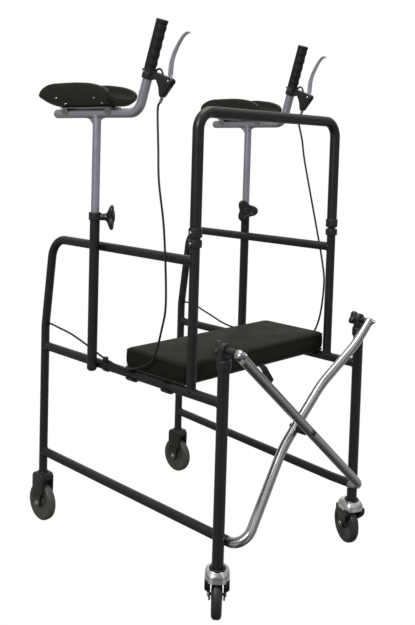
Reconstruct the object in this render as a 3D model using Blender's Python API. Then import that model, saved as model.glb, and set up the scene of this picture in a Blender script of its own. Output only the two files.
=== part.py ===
# Underarm walker: two tube side frames, a folding cross brace, a seat, a backrest bar and forearm rests.
# Metres. +Y is the way it is pushed, +X is the user's right, +Z is up.
# It is drawn with y = 0 over the rear wheels' axis, and the last lines move it to stand over its middle.
import bpy
import bmesh
from math import sin, cos, tan, pi, radians
from mathutils import Vector, Matrix

for leftover in list(bpy.data.objects):
    bpy.data.objects.remove(leftover, do_unlink=True)

# The frame
HALF_WIDTH = 0.250
TUBE_D = 0.022
TUBE_WALL = 0.0015
REAR_LEG_FOOT = 0.118
LEAN_START = 0.527
LEAN_REACH = 0.0311
TOP_RAIL_Z = 0.763
TOP_BEND = 0.057
MIDDLE_RAIL_Z = 0.474
BOTTOM_RAIL_Z = 0.172
BOTTOM_RAIL_RISE = 0.016
BOTTOM_RAIL_END = 0.655
FRONT_LEG_D = 0.0254
FRONT_LEG_Y = 0.648
FRONT_LEG_TOP = 0.5635
UPRIGHT_Y = 0.553
UPRIGHT_TOP = 0.810
# The cross brace
BRACE_D = 0.022
BRACE_PIVOT_Z = 0.3676
BRACE_TOP_LENGTH = 0.6355
BRACE_RIGHT_Y = 0.692
BRACE_LEFT_TOP_Y = 0.676
BRACE_LEFT_MID_Y = 0.650
BRACE_LEFT_LOW_Y = 0.700
SPIGOT_D = 0.018
KNOB_Z = 0.588
LEG_KNOB_R = 0.018
# The backrest bar
BACKREST_D = 0.0254
BACKREST_WALL = 0.0012
BACKREST_FOOT = 0.8135
BACKREST_TOP = 1.086
BACKREST_BEND = 0.040
BACKREST_SPIGOT = 0.052
# The forearm rests
POST_D = 0.024
POST_Y = 0.2325
POST_BOTTOM = 0.459
POST_TOP = 0.8315
COLLAR_D = 0.030
HEIGHT_TUBE_D = 0.020
HEIGHT_TUBE_BOTTOM = 0.560
HEIGHT_KNOB_R = 0.033
HEIGHT_KNOB_Z = 0.836
BAR_Z = 1.084
BAR_D = 0.022
BAR_BACK = 0.150
BAR_BEND = 0.036
TOE_IN = radians(5.2)
HANDLE_LEAN = radians(17.75)
HANDLE_Y = 0.138
GRIP_LOW = 0.0966
GRIP_LENGTH = 0.1195
GRIP_D = 0.027
PAD_BACK = 0.166
PAD_FRONT = 0.079
PAD_WIDTH = 0.100
PAD_HEIGHT = 0.0565
PAD_THICK = 0.009
CABLE_D = 0.005
# The wheels
WHEEL_D = 0.100
REAR_WHEEL_W = 0.021
CASTER_WHEEL_W = 0.025
CASTER_TRAIL = 0.022
AXLE_D = 0.008
# The seat
SEAT_HALF = 0.257
SEAT_BACK = 0.335
SEAT_FRONT = 0.538
BOARD_THICK = 0.005
SEAT_TOP = 0.535
SEAT_CROWN = 0.004
# Clearance between pieces that touch
GAP = 0.0003

TUBE_R = TUBE_D / 2
LEG_R = FRONT_LEG_D / 2
BRACE_R = BRACE_D / 2
BACK_R = BACKREST_D / 2
POST_R = POST_D / 2
BAR_R = BAR_D / 2
HEIGHT_R = HEIGHT_TUBE_D / 2
WHEEL_R = WHEEL_D / 2
AXLE_R = AXLE_D / 2
BRACE_X = HALF_WIDTH - LEG_R - TUBE_R - GAP
POST_X = HALF_WIDTH + TUBE_R + POST_R + GAP
SIDES = 14

# Frames that stand a flat outline or a turned shape up
ALONG_X = Matrix(((0, 0, 1, 0), (1, 0, 0, 0), (0, 1, 0, 0), (0, 0, 0, 1)))
ALONG_Y = Matrix(((0, 1, 0, 0), (0, 0, 1, 0), (1, 0, 0, 0), (0, 0, 0, 1)))


def material(name, colour, metallic, roughness):
    made = bpy.data.materials.new(name)
    made.use_nodes = True
    shader = made.node_tree.nodes["Principled BSDF"]
    shader.inputs["Base Color"].default_value = (*colour, 1.0)
    shader.inputs["Metallic"].default_value = metallic
    shader.inputs["Roughness"].default_value = roughness
    return made


FRAME_PAINT = material("frame_paint", (0.022, 0.022, 0.024), 0.0, 0.35)
SILVER_PAINT = material("silver_paint", (0.24, 0.24, 0.30), 0.6, 0.35)
CHROME = material("chrome", (0.72, 0.72, 0.74), 1.0, 0.15)
STEEL = material("lever_metal", (0.45, 0.45, 0.48), 1.0, 0.3)
PLASTIC = material("black_plastic", (0.015, 0.015, 0.016), 0.0, 0.45)
RUBBER = material("grip_rubber", (0.012, 0.012, 0.012), 0.0, 0.6)
FOAM = material("pad_cover", (0.028, 0.028, 0.024), 0.0, 0.6)
COVER = material("seat_cover", (0.030, 0.030, 0.026), 0.0, 0.55)
WEBBING = material("strap_webbing", (0.012, 0.012, 0.012), 0.0, 0.8)
GREY_TYRE = material("grey_tyre", (0.085, 0.085, 0.088), 0.0, 0.7)
BLACK_TYRE = material("black_tyre", (0.020, 0.020, 0.021), 0.0, 0.6)


def solid(name, shape):
    bmesh.ops.remove_doubles(shape, verts=shape.verts, dist=1e-6)
    bmesh.ops.recalc_face_normals(shape, faces=shape.faces)
    mesh = bpy.data.meshes.new(name)
    shape.to_mesh(mesh)
    shape.free()
    made = bpy.data.objects.new(name, mesh)
    bpy.context.collection.objects.link(made)
    return made


def combine(target, tool, operation):
    step = target.modifiers.new(operation, "BOOLEAN")
    step.operation = operation
    step.solver = "EXACT"
    step.object = tool
    tool.hide_render = True
    tool.display_type = "WIRE"
    bpy.context.view_layer.update()
    seen = target.evaluated_get(bpy.context.evaluated_depsgraph_get())
    mesh = bpy.data.meshes.new_from_object(seen)
    target.modifiers.clear()
    shape = bmesh.new()
    shape.from_mesh(mesh)
    bmesh.ops.remove_doubles(shape, verts=shape.verts, dist=0.00001)
    bmesh.ops.dissolve_degenerate(shape, edges=shape.edges, dist=0.00001)
    shape.to_mesh(mesh)
    shape.free()
    target.data = mesh
    bpy.data.objects.remove(tool, do_unlink=True)
    return target


def add(target, tool):
    return combine(target, tool, "UNION")


def cut(target, tool):
    return combine(target, tool, "DIFFERENCE")


def finish(made, name, look, origin=(0, 0, 0)):
    made.name = name
    made.data.name = name
    made.data.materials.clear()
    made.data.materials.append(look)
    made.data.transform(Matrix.Translation(-Vector(origin)))
    made.location = Vector(origin)
    return made


def rounded_path(corners, bends, step=radians(18)):
    """The centre line through these corners, each rounded to its bend radius."""
    points = [Vector(corner) for corner in corners]
    path = [points[0]]
    for before, corner, after, bend in zip(points, points[1:], points[2:], bends):
        back = (before - corner).normalized()
        ahead = (after - corner).normalized()
        turn = pi - back.angle(ahead)
        if bend == 0 or turn < 0.01:
            path.append(corner)
            continue
        half = back.angle(ahead) / 2
        centre = corner + (back + ahead).normalized() * (bend / sin(half))
        first = corner + back * (bend / tan(half)) - centre
        last = corner + ahead * (bend / tan(half)) - centre
        axis = first.cross(last).normalized()
        count = max(1, round(turn / step))
        for k in range(count + 1):
            path.append(centre + Matrix.Rotation(turn * k / count, 3, axis) @ first)
    path.append(points[-1])
    return path


def rings_along(path, radius, sides):
    """Rings of a round tube, mitred at each corner of its path."""
    ways = [(b - a).normalized() for a, b in zip(path, path[1:])]
    lead = Vector((1, 0, 0)) if abs(ways[0].x) < 0.9 else Vector((0, 1, 0))
    lead = (lead - ways[0] * lead.dot(ways[0])).normalized()
    other = ways[0].cross(lead)
    turns = [2 * pi * k / sides for k in range(sides)]
    spokes = [(lead * cos(turn) + other * sin(turn)) * radius for turn in turns]
    rings = [[path[0] + spoke for spoke in spokes]]
    for n in range(1, len(path)):
        before = ways[n - 1]
        after = ways[n] if n < len(ways) else before
        mitre = (before + after).normalized()
        offsets = [w - before * (w.dot(mitre) / before.dot(mitre)) for w in spokes]
        rings.append([path[n] + offset for offset in offsets])
        spokes = [offset - after * offset.dot(after) for offset in offsets]
    return rings


def dome(ring, way, radius):
    """Three smaller rings beyond a tube's last ring, which close it with a rounded end."""
    centre = sum(ring, Vector()) / len(ring)
    made = []
    for lift in (25, 50, 72):
        reach = way * radius * 0.6 * sin(radians(lift))
        made.append([centre + reach + (p - centre) * cos(radians(lift)) for p in ring])
    return made


def skin(shape, rings, round_again=False):
    loops = [[shape.verts.new(p) for p in ring] for ring in rings]
    pairs = list(zip(loops, loops[1:]))
    if round_again:
        pairs.append((loops[-1], loops[0]))
    for low, high in pairs:
        for k in range(len(low)):
            m = (k + 1) % len(low)
            shape.faces.new((low[k], low[m], high[m], high[k]))
    if not round_again:
        shape.faces.new(loops[0])
        shape.faces.new(loops[-1])


def tube(name, path, radius, wall=0.0, sides=SIDES, start="open", end="open", filled=0.0):
    """A round tube along a path. A wall of 0 makes a rod. Ends are open or round; filled plugs the last one."""
    path = [Vector(p) for p in path]
    first = (path[0] - path[1]).normalized()
    last = (path[-1] - path[-2]).normalized()
    outer = rings_along(path, radius, sides)
    if start == "round":
        outer = dome(outer[0], first, radius)[::-1] + outer
    if end == "round":
        outer = outer + dome(outer[-1], last, radius)
    shape = bmesh.new()
    if wall == 0:
        skin(shape, outer)
        return solid(name, shape)
    inside = list(path)
    if start != "open":
        inside[0] = path[0] - first * wall
    if end != "open":
        inside[-1] = path[-1] - last * (wall + filled)
    inner = rings_along(inside, radius - wall, sides)
    if start == "open" and end == "open":
        skin(shape, outer + inner[::-1], round_again=True)
    elif end == "open":
        skin(shape, outer + inner[::-1])
    else:
        skin(shape, outer[::-1] + inner)
    return solid(name, shape)


def rod(a, b, radius, sides=SIDES):
    return tube("rod", [a, b], radius, 0.0, sides)


def lathe(name, profile, sides, place):
    """A turned body: a profile of radius and height spun about the axis of its place."""
    shape = bmesh.new()
    verts = [shape.verts.new((r, 0, h)) for r, h in profile]
    pairs = list(zip(verts, verts[1:]))
    if profile[0][0] > 0 or profile[-1][0] > 0:
        pairs.append((verts[-1], verts[0]))
    edges = [shape.edges.new(pair) for pair in pairs]
    bmesh.ops.spin(shape, geom=verts + edges, cent=(0, 0, 0), axis=(0, 0, 1), angle=2 * pi,
                   steps=sides, use_merge=True, use_duplicate=False)
    made = solid(name, shape)
    made.data.transform(place)
    return made


def prism(name, outline, low, high, place=Matrix()):
    """A flat outline in its place's own x and y, grown from low to high along its z."""
    shape = bmesh.new()
    face = shape.faces.new([shape.verts.new((a, b, low)) for a, b in outline])
    grown = bmesh.ops.extrude_face_region(shape, geom=[face])
    lifted = [v for v in grown["geom"] if isinstance(v, bmesh.types.BMVert)]
    bmesh.ops.translate(shape, verts=lifted, vec=(0, 0, high - low))
    made = solid(name, shape)
    made.data.transform(place)
    return made


def box(name, low, high, round_off=0.0, steps=2, place=Matrix()):
    shape = bmesh.new()
    bmesh.ops.create_cube(shape, size=1.0)
    low = Vector(low)
    size = Vector(high) - low
    for vert in shape.verts:
        vert.co = low + Vector([(c + 0.5) * s for c, s in zip(vert.co, size)])
    if round_off:
        bmesh.ops.bevel(shape, geom=shape.edges, offset=round_off, segments=steps, affect="EDGES",
                        profile=0.5)
    made = solid(name, shape)
    made.data.transform(place)
    return made


def arc(centre, radius, start, end, steps):
    """Points on an arc, angles in degrees from the outline's own x."""
    made = []
    for k in range(steps + 1):
        turn = radians(start + (end - start) * k / steps)
        made.append((centre[0] + radius * cos(turn), centre[1] + radius * sin(turn)))
    return made


def three_lobes(radius, count=24):
    made = []
    for k in range(count):
        turn = 2 * pi * k / count
        reach = radius * (0.80 + 0.20 * cos(3 * turn))
        made.append((reach * cos(turn), reach * sin(turn)))
    return made


def smooth(points, spacing):
    """Points at about this spacing on a smooth curve through the ones given."""
    given = [Vector(p) for p in points]
    ends = [given[0] * 2 - given[1]] + given + [given[-1] * 2 - given[-2]]
    path = []
    for a, b, c, d in zip(ends, ends[1:], ends[2:], ends[3:]):
        count = max(1, round((c - b).length / spacing))
        for k in range(count):
            t = k / count
            pull = (c - a) * t + (a * 2 - b * 5 + c * 4 - d) * t * t + (b * 3 - a - c * 3 + d) * t ** 3
            path.append(b + pull * 0.5)
    path.append(given[-1])
    return path


def brace_height(reach):
    """Height above the lower pivot and distance from it, at a distance along a brace."""
    rise = BRACE_PIVOT_Z - BOTTOM_RAIL_Z
    run = (BRACE_X ** 2 + rise ** 2) ** 0.5
    return reach * BRACE_X / run, reach * rise / run


def side(hand, s):
    x = s * HALF_WIDTH
    post = Vector((s * POST_X, POST_Y, 0))

    # Rear leg and top rail, one bent tube, with the hole the brake cable goes in by
    leg = tube("leg", rounded_path([(x, 0, REAR_LEG_FOOT), (x, 0, LEAN_START), (x, LEAN_REACH, TOP_RAIL_Z),
                                    (x, UPRIGHT_Y - 0.004, TOP_RAIL_Z)], [0.12, TOP_BEND]),
               TUBE_R, TUBE_WALL)
    cut(leg, rod((x, UPRIGHT_Y, TOP_RAIL_Z - 0.03), (x, UPRIGHT_Y, TOP_RAIL_Z + 0.03), TUBE_R + GAP))
    cut(leg, rod((x, 0.002, LEAN_START + 0.007), (x, 0.022, LEAN_START + 0.007), CABLE_D * 1.2, 10))
    finish(leg, "rear_leg_" + hand, FRAME_PAINT)

    # Middle rail, coped to both legs
    rail = tube("rail", [(x, 0.004, MIDDLE_RAIL_Z), (x, FRONT_LEG_Y - 0.004, MIDDLE_RAIL_Z)], TUBE_R, TUBE_WALL)
    cut(rail, rod((x, 0, MIDDLE_RAIL_Z - 0.03), (x, 0, MIDDLE_RAIL_Z + 0.03), TUBE_R + GAP))
    cut(rail, rod((x, FRONT_LEG_Y, MIDDLE_RAIL_Z - 0.03), (x, FRONT_LEG_Y, MIDDLE_RAIL_Z + 0.03), LEG_R + GAP))
    finish(rail, "middle_rail_" + hand, FRAME_PAINT)

    # Bottom rail: it slants inboard and passes the front leg, and its open end holds the brace
    low = BOTTOM_RAIL_Z + BOTTOM_RAIL_RISE
    rail = tube("rail", [(x, 0.003, low), (s * BRACE_X, 0.600, BOTTOM_RAIL_Z),
                         (s * BRACE_X, BOTTOM_RAIL_END, BOTTOM_RAIL_Z)], TUBE_R, TUBE_WALL)
    cut(rail, rod((x, 0, low - 0.03), (x, 0, low + 0.03), TUBE_R + GAP))
    finish(rail, "bottom_rail_" + hand, FRAME_PAINT)

    # Front leg with its moulded cap and lug
    made = tube("leg", [(x, FRONT_LEG_Y, 0.122), (x, FRONT_LEG_Y, FRONT_LEG_TOP)], LEG_R, TUBE_WALL)
    finish(made, "front_leg_" + hand, FRAME_PAINT)
    centre = Matrix.Translation((x, FRONT_LEG_Y, 0))
    top = FRONT_LEG_TOP
    cap = lathe("cap", [(0, top + 0.0005), (LEG_R + GAP, top + 0.0005), (LEG_R + GAP, top - 0.0175),
                        (LEG_R + 0.0026, top - 0.0175), (LEG_R + 0.0033, top - 0.013),
                        (LEG_R + 0.0033, top + 0.002), (LEG_R + 0.0018, top + 0.0045), (0, top + 0.0045)],
                SIDES, centre)
    outline = [(-0.0145, top + 0.001), (0.0145, top + 0.001)] + arc((0, KNOB_Z), 0.0145, 0, 180, 8)
    lug = prism("lug", outline, -(FRONT_LEG_Y + 0.007), -(FRONT_LEG_Y - 0.007),
                Matrix.Translation((x, 0, 0)) @ Matrix.Rotation(pi / 2, 4, "X"))
    add(cap, lug)
    cut(cap, rod((x, FRONT_LEG_Y - 0.03, KNOB_Z), (x, FRONT_LEG_Y + 0.03, KNOB_Z), 0.0036, 12))
    finish(cap, "leg_cap_" + hand, PLASTIC)

    # Knob whose screw holds the top of the brace: screw, spacer sleeve and end nut
    back = (BRACE_RIGHT_Y if s > 0 else BRACE_LEFT_TOP_Y) - BRACE_R
    front = back + 2 * BRACE_R
    face = FRONT_LEG_Y + 0.0073
    along = Matrix.Translation((x, 0, KNOB_Z)) @ ALONG_Y
    knob = lathe("knob", [(0, face - 0.026), (0.003, face - 0.026), (0.003, face), (0.007, face),
                          (0.007, back - GAP), (0.003, back - GAP), (0.003, front + GAP),
                          (0.0065, front + GAP), (0.0065, front + 0.005), (0, front + 0.006)], 12, along)
    add(knob, prism("lobes", three_lobes(LEG_KNOB_R), FRONT_LEG_Y - 0.0215, FRONT_LEG_Y - 0.0080, along))
    finish(knob, "leg_knob_" + hand, PLASTIC, (x, FRONT_LEG_Y, KNOB_Z))

    # Upright, coped to the middle rail. The right one runs on up as the spigot of the backrest bar.
    high = UPRIGHT_TOP + (BACKREST_SPIGOT if s > 0 else 0)
    made = tube("upright", [(x, UPRIGHT_Y, MIDDLE_RAIL_Z + 0.003), (x, UPRIGHT_Y, high)], TUBE_R, TUBE_WALL)
    cut(made, rod((x, UPRIGHT_Y - 0.03, MIDDLE_RAIL_Z), (x, UPRIGHT_Y + 0.03, MIDDLE_RAIL_Z), TUBE_R + GAP))
    finish(made, "upright_" + hand, FRAME_PAINT)
    ring = lathe("ring", [(TUBE_R + GAP, UPRIGHT_TOP - 0.0165), (COLLAR_D / 2 - 0.001, UPRIGHT_TOP - 0.0165),
                          (COLLAR_D / 2, UPRIGHT_TOP - 0.0150), (COLLAR_D / 2, UPRIGHT_TOP - 0.0010),
                          (COLLAR_D / 2 - 0.001, UPRIGHT_TOP), (TUBE_R + GAP, UPRIGHT_TOP)],
                 SIDES, Matrix.Translation((x, UPRIGHT_Y, 0)))
    screw_z = UPRIGHT_TOP - 0.008
    add(ring, rod((x + s * 0.0135, UPRIGHT_Y, screw_z), (x + s * 0.0185, UPRIGHT_Y, screw_z), 0.003, 10))
    finish(ring, "upright_collar_" + hand, PLASTIC)

    # Forearm post outside the rails, with the clamp collar on its top
    bottom = POST_BOTTOM + POST_R * 0.6
    made = tube("post", [post + Vector((0, 0, bottom)), post + Vector((0, 0, POST_TOP))], POST_R, TUBE_WALL,
                start="round")
    finish(made, "forearm_post_" + hand, FRAME_PAINT)
    outer = COLLAR_D / 2
    collar = lathe("collar", [(POST_R + GAP, POST_TOP - 0.003), (outer - 0.001, POST_TOP - 0.003),
                              (outer, POST_TOP - 0.001), (outer, POST_TOP + 0.014),
                              (outer - 0.001, POST_TOP + 0.0155), (HEIGHT_R + GAP, POST_TOP + 0.0155),
                              (HEIGHT_R + GAP, POST_TOP + GAP), (POST_R + GAP, POST_TOP + GAP)],
                   SIDES, Matrix.Translation(post))
    out = Vector((-s, 1, 0)).normalized()
    centre = post + Vector((0, 0, HEIGHT_KNOB_Z))
    boss = rod(centre + out * (HEIGHT_R + 0.0025), centre + out * 0.0240, 0.0085, 12)
    add(collar, boss)
    cut(collar, rod(centre + out * 0.006, centre + out * 0.03, 0.0037, 8))
    finish(collar, "post_collar_" + hand, PLASTIC)

    # Height knob: hub, lobes and the screw that presses on the height tube
    turn = Matrix.Translation(centre) @ out.to_track_quat("Z", "Y").to_matrix().to_4x4()
    knob = lathe("knob", [(0, HEIGHT_R + GAP), (0.003, HEIGHT_R + GAP), (0.003, 0.0245), (0.0095, 0.0245),
                          (0.0110, 0.0330), (0.0110, 0.0445), (0.0095, 0.0470), (0, 0.0475)], 14, turn)
    add(knob, prism("lobes", three_lobes(HEIGHT_KNOB_R), 0.0315, 0.0455, turn))
    finish(knob, "height_knob_" + hand, PLASTIC, centre)

    # Everything on the height tube is drawn in the rest's own frame: y forward along the bar, z up
    place = Matrix.Translation(post + Vector((0, 0, BAR_Z))) @ Matrix.Rotation(s * TOE_IN, 4, "Z")

    def at(y, z, across=0.0):
        return place @ Vector((across, y, z))

    handle = Vector((0, sin(HANDLE_LEAN), cos(HANDLE_LEAN)))
    foot = Vector((0, HANDLE_Y, 0))
    tip = foot + handle * (GRIP_LOW + GRIP_LENGTH - 0.006)

    made = tube("height", [post + Vector((0, 0, HEIGHT_TUBE_BOTTOM)), post + Vector((0, 0, BAR_Z - 0.003))],
                HEIGHT_R, TUBE_WALL)
    cut(made, rod(at(-0.03, 0), at(0.03, 0), BAR_R + GAP))
    finish(made, "height_tube_" + hand, SILVER_PAINT)

    path = rounded_path([at(BAR_R * 0.6 - BAR_BACK, 0), at(HANDLE_Y, 0), place @ tip], [BAR_BEND])
    bar = tube("bar", path, BAR_R, TUBE_WALL, start="round")
    for way, long, tall in ((-1, 0.028, 0.028), (1, 0.017, 0.012)):
        y0 = way * (HEIGHT_R + GAP)
        y1 = way * (HEIGHT_R + GAP + long)
        z1 = -BAR_R - tall
        outline = [(y0, -BAR_R + 0.0012), (y1, -BAR_R + 0.0012), (y1, -BAR_R - 0.001)]
        for lift in (20, 40, 60, 80):
            t = radians(lift)
            outline.append((y1 - way * long * sin(t), z1 + tall * cos(t)))
        outline.append((y0, z1))
        add(bar, prism("gusset", outline, -0.002, 0.002, place @ ALONG_X))
    finish(bar, "forearm_bar_" + hand, SILVER_PAINT)

    # Plate under the pad, on two saddles that sit on the bar
    plate = box("plate", (-0.020, -0.112, BAR_R + 0.0006), (0.020, 0.062, BAR_R + 0.0036), place=place)
    for y in (-0.100, 0.050):
        add(plate, box("saddle", (-0.016, y - 0.008, -0.002), (0.016, y + 0.008, BAR_R + 0.002), place=place))
    cut(plate, rod(at(-0.13, 0), at(0.08, 0), BAR_R + GAP))
    finish(plate, "pad_plate_" + hand, PLASTIC)

    # Gutter pad: a trough section cut to its rounded side view
    half = PAD_WIDTH / 2
    base = BAR_R + 0.0039
    outline = []
    for reach, lift, order in ((half, 0.0, range(13)), (half - PAD_THICK, PAD_THICK, range(12, -1, -1))):
        for k in order:
            t = radians(-90 + 15 * k)
            wide = abs(sin(t)) ** 0.75
            deep = abs(cos(t)) ** 0.75
            sign = 1 if t > 0 else -1
            outline.append((sign * reach * wide, base + PAD_HEIGHT - (PAD_HEIGHT - lift) * deep))
    turned = Matrix.Rotation(pi / 2, 4, "X")
    pad = prism("pad", outline, -PAD_FRONT, PAD_BACK, place @ turned)
    high = base + PAD_HEIGHT
    view = [(PAD_FRONT + 0.01, base - 0.01), (PAD_FRONT + 0.01, base + 0.01), (PAD_FRONT, base + 0.012)]
    view += arc((PAD_FRONT - 0.020, high - 0.020), 0.020, 10, 90, 4)
    view += arc((0.035 - PAD_BACK, high - 0.035), 0.035, 90, 170, 5)
    view += arc((0.018 - PAD_BACK, base + 0.014), 0.018, 185, 265, 4)
    view += [(0.03 - PAD_BACK, base - 0.01)]
    combine(pad, prism("view", view, -half - 0.01, half + 0.01, place @ ALONG_X), "INTERSECT")
    finish(pad, "forearm_pad_" + hand, FOAM)

    # Grip: a sleeve with a flange below and finger ridges in front
    ahead = Vector((0, cos(HANDLE_LEAN), -sin(HANDLE_LEAN)))
    levels = [(0.0, 0.0035, 0), (0.003, 0.0035, 0), (0.0045, 0.0, 0)]
    ridges = 5
    for k in range(2 * ridges + 1):
        levels.append((0.010 + (GRIP_LENGTH - 0.018) * k / (2 * ridges), 0.0, 1 if k % 2 else -1))
    levels += [(GRIP_LENGTH - 0.002, 0.0005, 0), (GRIP_LENGTH, -0.002, 0)]
    rings = []
    count = 14
    for lift, grow, ridge in levels:
        ring = []
        for k in range(count):
            turn = 2 * pi * k / count
            reach = GRIP_D / 2 + grow + 0.0013 * ridge * max(0.0, cos(turn))
            spoke = ahead * cos(turn) + Vector((1, 0, 0)) * sin(turn)
            ring.append(place @ (foot + handle * (GRIP_LOW + lift) + spoke * reach))
        rings.append(ring)
    for lift in (GRIP_LENGTH - 0.0055, 0.0):
        ring = []
        for k in range(count):
            turn = 2 * pi * k / count
            spoke = ahead * cos(turn) + Vector((1, 0, 0)) * sin(turn)
            ring.append(place @ (foot + handle * (GRIP_LOW + lift) + spoke * (BAR_R + GAP)))
        rings.append(ring)
    shape = bmesh.new()
    skin(shape, [rings[-1]] + rings[:-2] )
    shape.faces.ensure_lookup_table()
    shape.faces.remove(shape.faces[-2])
    shape.verts.ensure_lookup_table()
    rim = list(shape.verts)[:count]
    deep = [shape.verts.new(p) for p in rings[-2]]
    for k in range(count):
        m = (k + 1) % count
        shape.faces.new((rim[k], rim[m], deep[m], deep[k]))
    shape.faces.new(deep)
    grip = solid("grip", shape)
    finish(grip, "grip_" + hand, RUBBER)

    # Brake bracket: a clamp band, an arched arm and the lever's housing, slotted for the lever
    axis = Matrix.Translation(foot) @ Matrix.Rotation(-HANDLE_LEAN, 4, "X")
    low = GRIP_LOW - 0.0155
    band = lathe("band", [(BAR_R + GAP, low), (BAR_R + 0.0035, low), (BAR_R + 0.0035, low + 0.013),
                          (BAR_R + GAP, low + 0.013)], SIDES, place @ axis)
    middle = foot + handle * (low + 0.0065)
    near = BAR_R + 0.0008
    outline = []
    for away, along in ((near, -0.0055), (near, 0.0050), (near + 0.007, 0.0055), (near + 0.009, 0.0140)):
        point = middle + ahead * away + handle * along
        outline.append((point.y, point.z))
    for dy, dz in ((0.0310, 0.0125), (0.0413, 0.0035), (0.0745, -0.0095), (0.0785, -0.0165), (0.0480, -0.0500),
                   (0.0405, -0.0490), (0.0370, -0.0260), (0.0290, -0.0100), (0.0190, -0.0095)):
        outline.append((middle.y + dy, middle.z + dz))
    add(band, prism("housing", outline, -0.0075, 0.0075, place @ ALONG_X))
    pivot = middle + Vector((0, 0.0665, -0.0155))
    slot = [(pivot.y - 0.010, pivot.z - 0.011), (pivot.y + 0.03, pivot.z - 0.011),
            (pivot.y + 0.03, pivot.z + 0.03), (pivot.y - 0.010, pivot.z + 0.03)]
    cut(band, prism("slot", slot, -0.0029, 0.0029, place @ ALONG_X))
    ferrule = middle + Vector((0, 0.0443, -0.0495))
    down = Vector((0, -0.42, -0.91)).normalized()
    add(band, rod(place @ (ferrule - down * 0.003), place @ (ferrule + down * 0.013), CABLE_D / 2 + 0.001, 10))
    across = Vector((1, 0, 0))
    add(band, rod(place @ (pivot - across * 0.0085), place @ (pivot + across * 0.0085), 0.0018, 10))
    finish(band, "brake_bracket_" + hand, PLASTIC)

    # Brake lever: a tongue on the pivot pin and a blade that flares forward at its tip
    blade = [(0.000, 0.004, 0.0024), (0.0005, 0.0120, 0.0024), (0.001, 0.0160, 0.0062), (0.0035, 0.040, 0.0060),
             (0.009, 0.057, 0.0056), (0.017, 0.072, 0.0050), (0.027, 0.087, 0.0044), (0.037, 0.098, 0.0038),
             (0.052, 0.104, 0.0034)]
    rings = []
    for n, (dy, dz, wide) in enumerate(blade):
        here = pivot + Vector((0, dy, dz))
        a = blade[max(0, n - 1)]
        b = blade[min(len(blade) - 1, n + 1)]
        way = Vector((0, b[0] - a[0], b[1] - a[1])).normalized()
        flat = Vector((0, way.z, -way.y))
        thick = 0.0028 if n else 0.0040
        rings.append([place @ (here + across * (u * wide) + flat * (v * thick)) for u, v in
                      ((-1, -0.6), (-0.6, -1), (0.6, -1), (1, -0.6), (1, 0.6), (0.6, 1), (-0.6, 1), (-1, 0.6))])
    shape = bmesh.new()
    skin(shape, rings)
    lever = solid("lever", shape)
    add(lever, rod(place @ (pivot - across * 0.0025), place @ (pivot + across * 0.0025), 0.0065, 12))
    cut(lever, rod(place @ (pivot - across * 0.02), place @ (pivot + across * 0.02), 0.0021, 10))
    finish(lever, "brake_lever_" + hand, STEEL, place @ pivot)

    # Brake cable, along its route down the frame and inside the rear leg to the brake shoe
    start = place @ (ferrule + down * (0.013 + GAP))
    leave = place @ (ferrule + down * 0.030)
    if s > 0:
        route = [(0.262, 0.4407, 1.0014), (0.268, 0.4524, 0.9288), (0.269, 0.4742, 0.8222),
                 (0.2695, 0.4865, 0.672), (0.2685, 0.4753, 0.6071), (0.2670, 0.4464, 0.5300),
                 (0.2700, 0.4060, 0.5040), (0.2705, 0.3720, 0.4925), (0.2697, 0.3450, 0.4893),
                 (0.2620, 0.3000, 0.4890), (0.2545, 0.2500, 0.4935), (0.2515, 0.1900, 0.5080),
                 (0.2500, 0.1200, 0.5240)]
    else:
        route = [(-0.266, 0.4347, 1.0387), (-0.268, 0.4448, 0.9806), (-0.269, 0.4852, 0.8282),
                 (-0.2695, 0.512, 0.7249), (-0.2695, 0.5219, 0.6583), (-0.2690, 0.5104, 0.5621),
                 (-0.2680, 0.4800, 0.5090), (-0.2660, 0.4200, 0.4920), (-0.2620, 0.3300, 0.4905),
                 (-0.2540, 0.2028, 0.4925), (-0.2510, 0.1176, 0.5154)]
    hole = LEAN_START + 0.009
    enter = [(x, 0.060, hole - 0.004), (x, 0.0225, hole), (x, 0.008, hole - 0.0045), (x, 0.001, hole - 0.018),
             (x, 0.0, hole - 0.040)]
    path = smooth([start, leave] + route + enter, 0.036)
    path.append(Vector((x, 0, 0.30)))
    path.append(Vector((x, 0, 0.1135)))
    curve = bpy.data.curves.new("cable", "CURVE")
    curve.dimensions = "3D"
    curve.bevel_depth = CABLE_D / 2
    curve.bevel_resolution = 2
    curve.use_fill_caps = True
    line = curve.splines.new("POLY")
    line.points.add(len(path) - 1)
    for spot, p in zip(line.points, path):
        spot.co = (*p, 1.0)
    wire = bpy.data.objects.new("cable", curve)
    bpy.context.collection.objects.link(wire)
    bpy.context.view_layer.update()
    mesh = bpy.data.meshes.new_from_object(wire.evaluated_get(bpy.context.evaluated_depsgraph_get()))
    bpy.data.objects.remove(wire, do_unlink=True)
    shape = bmesh.new()
    shape.from_mesh(mesh)
    cable = solid("cable", shape)
    finish(cable, "brake_cable_" + hand, RUBBER)

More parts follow.
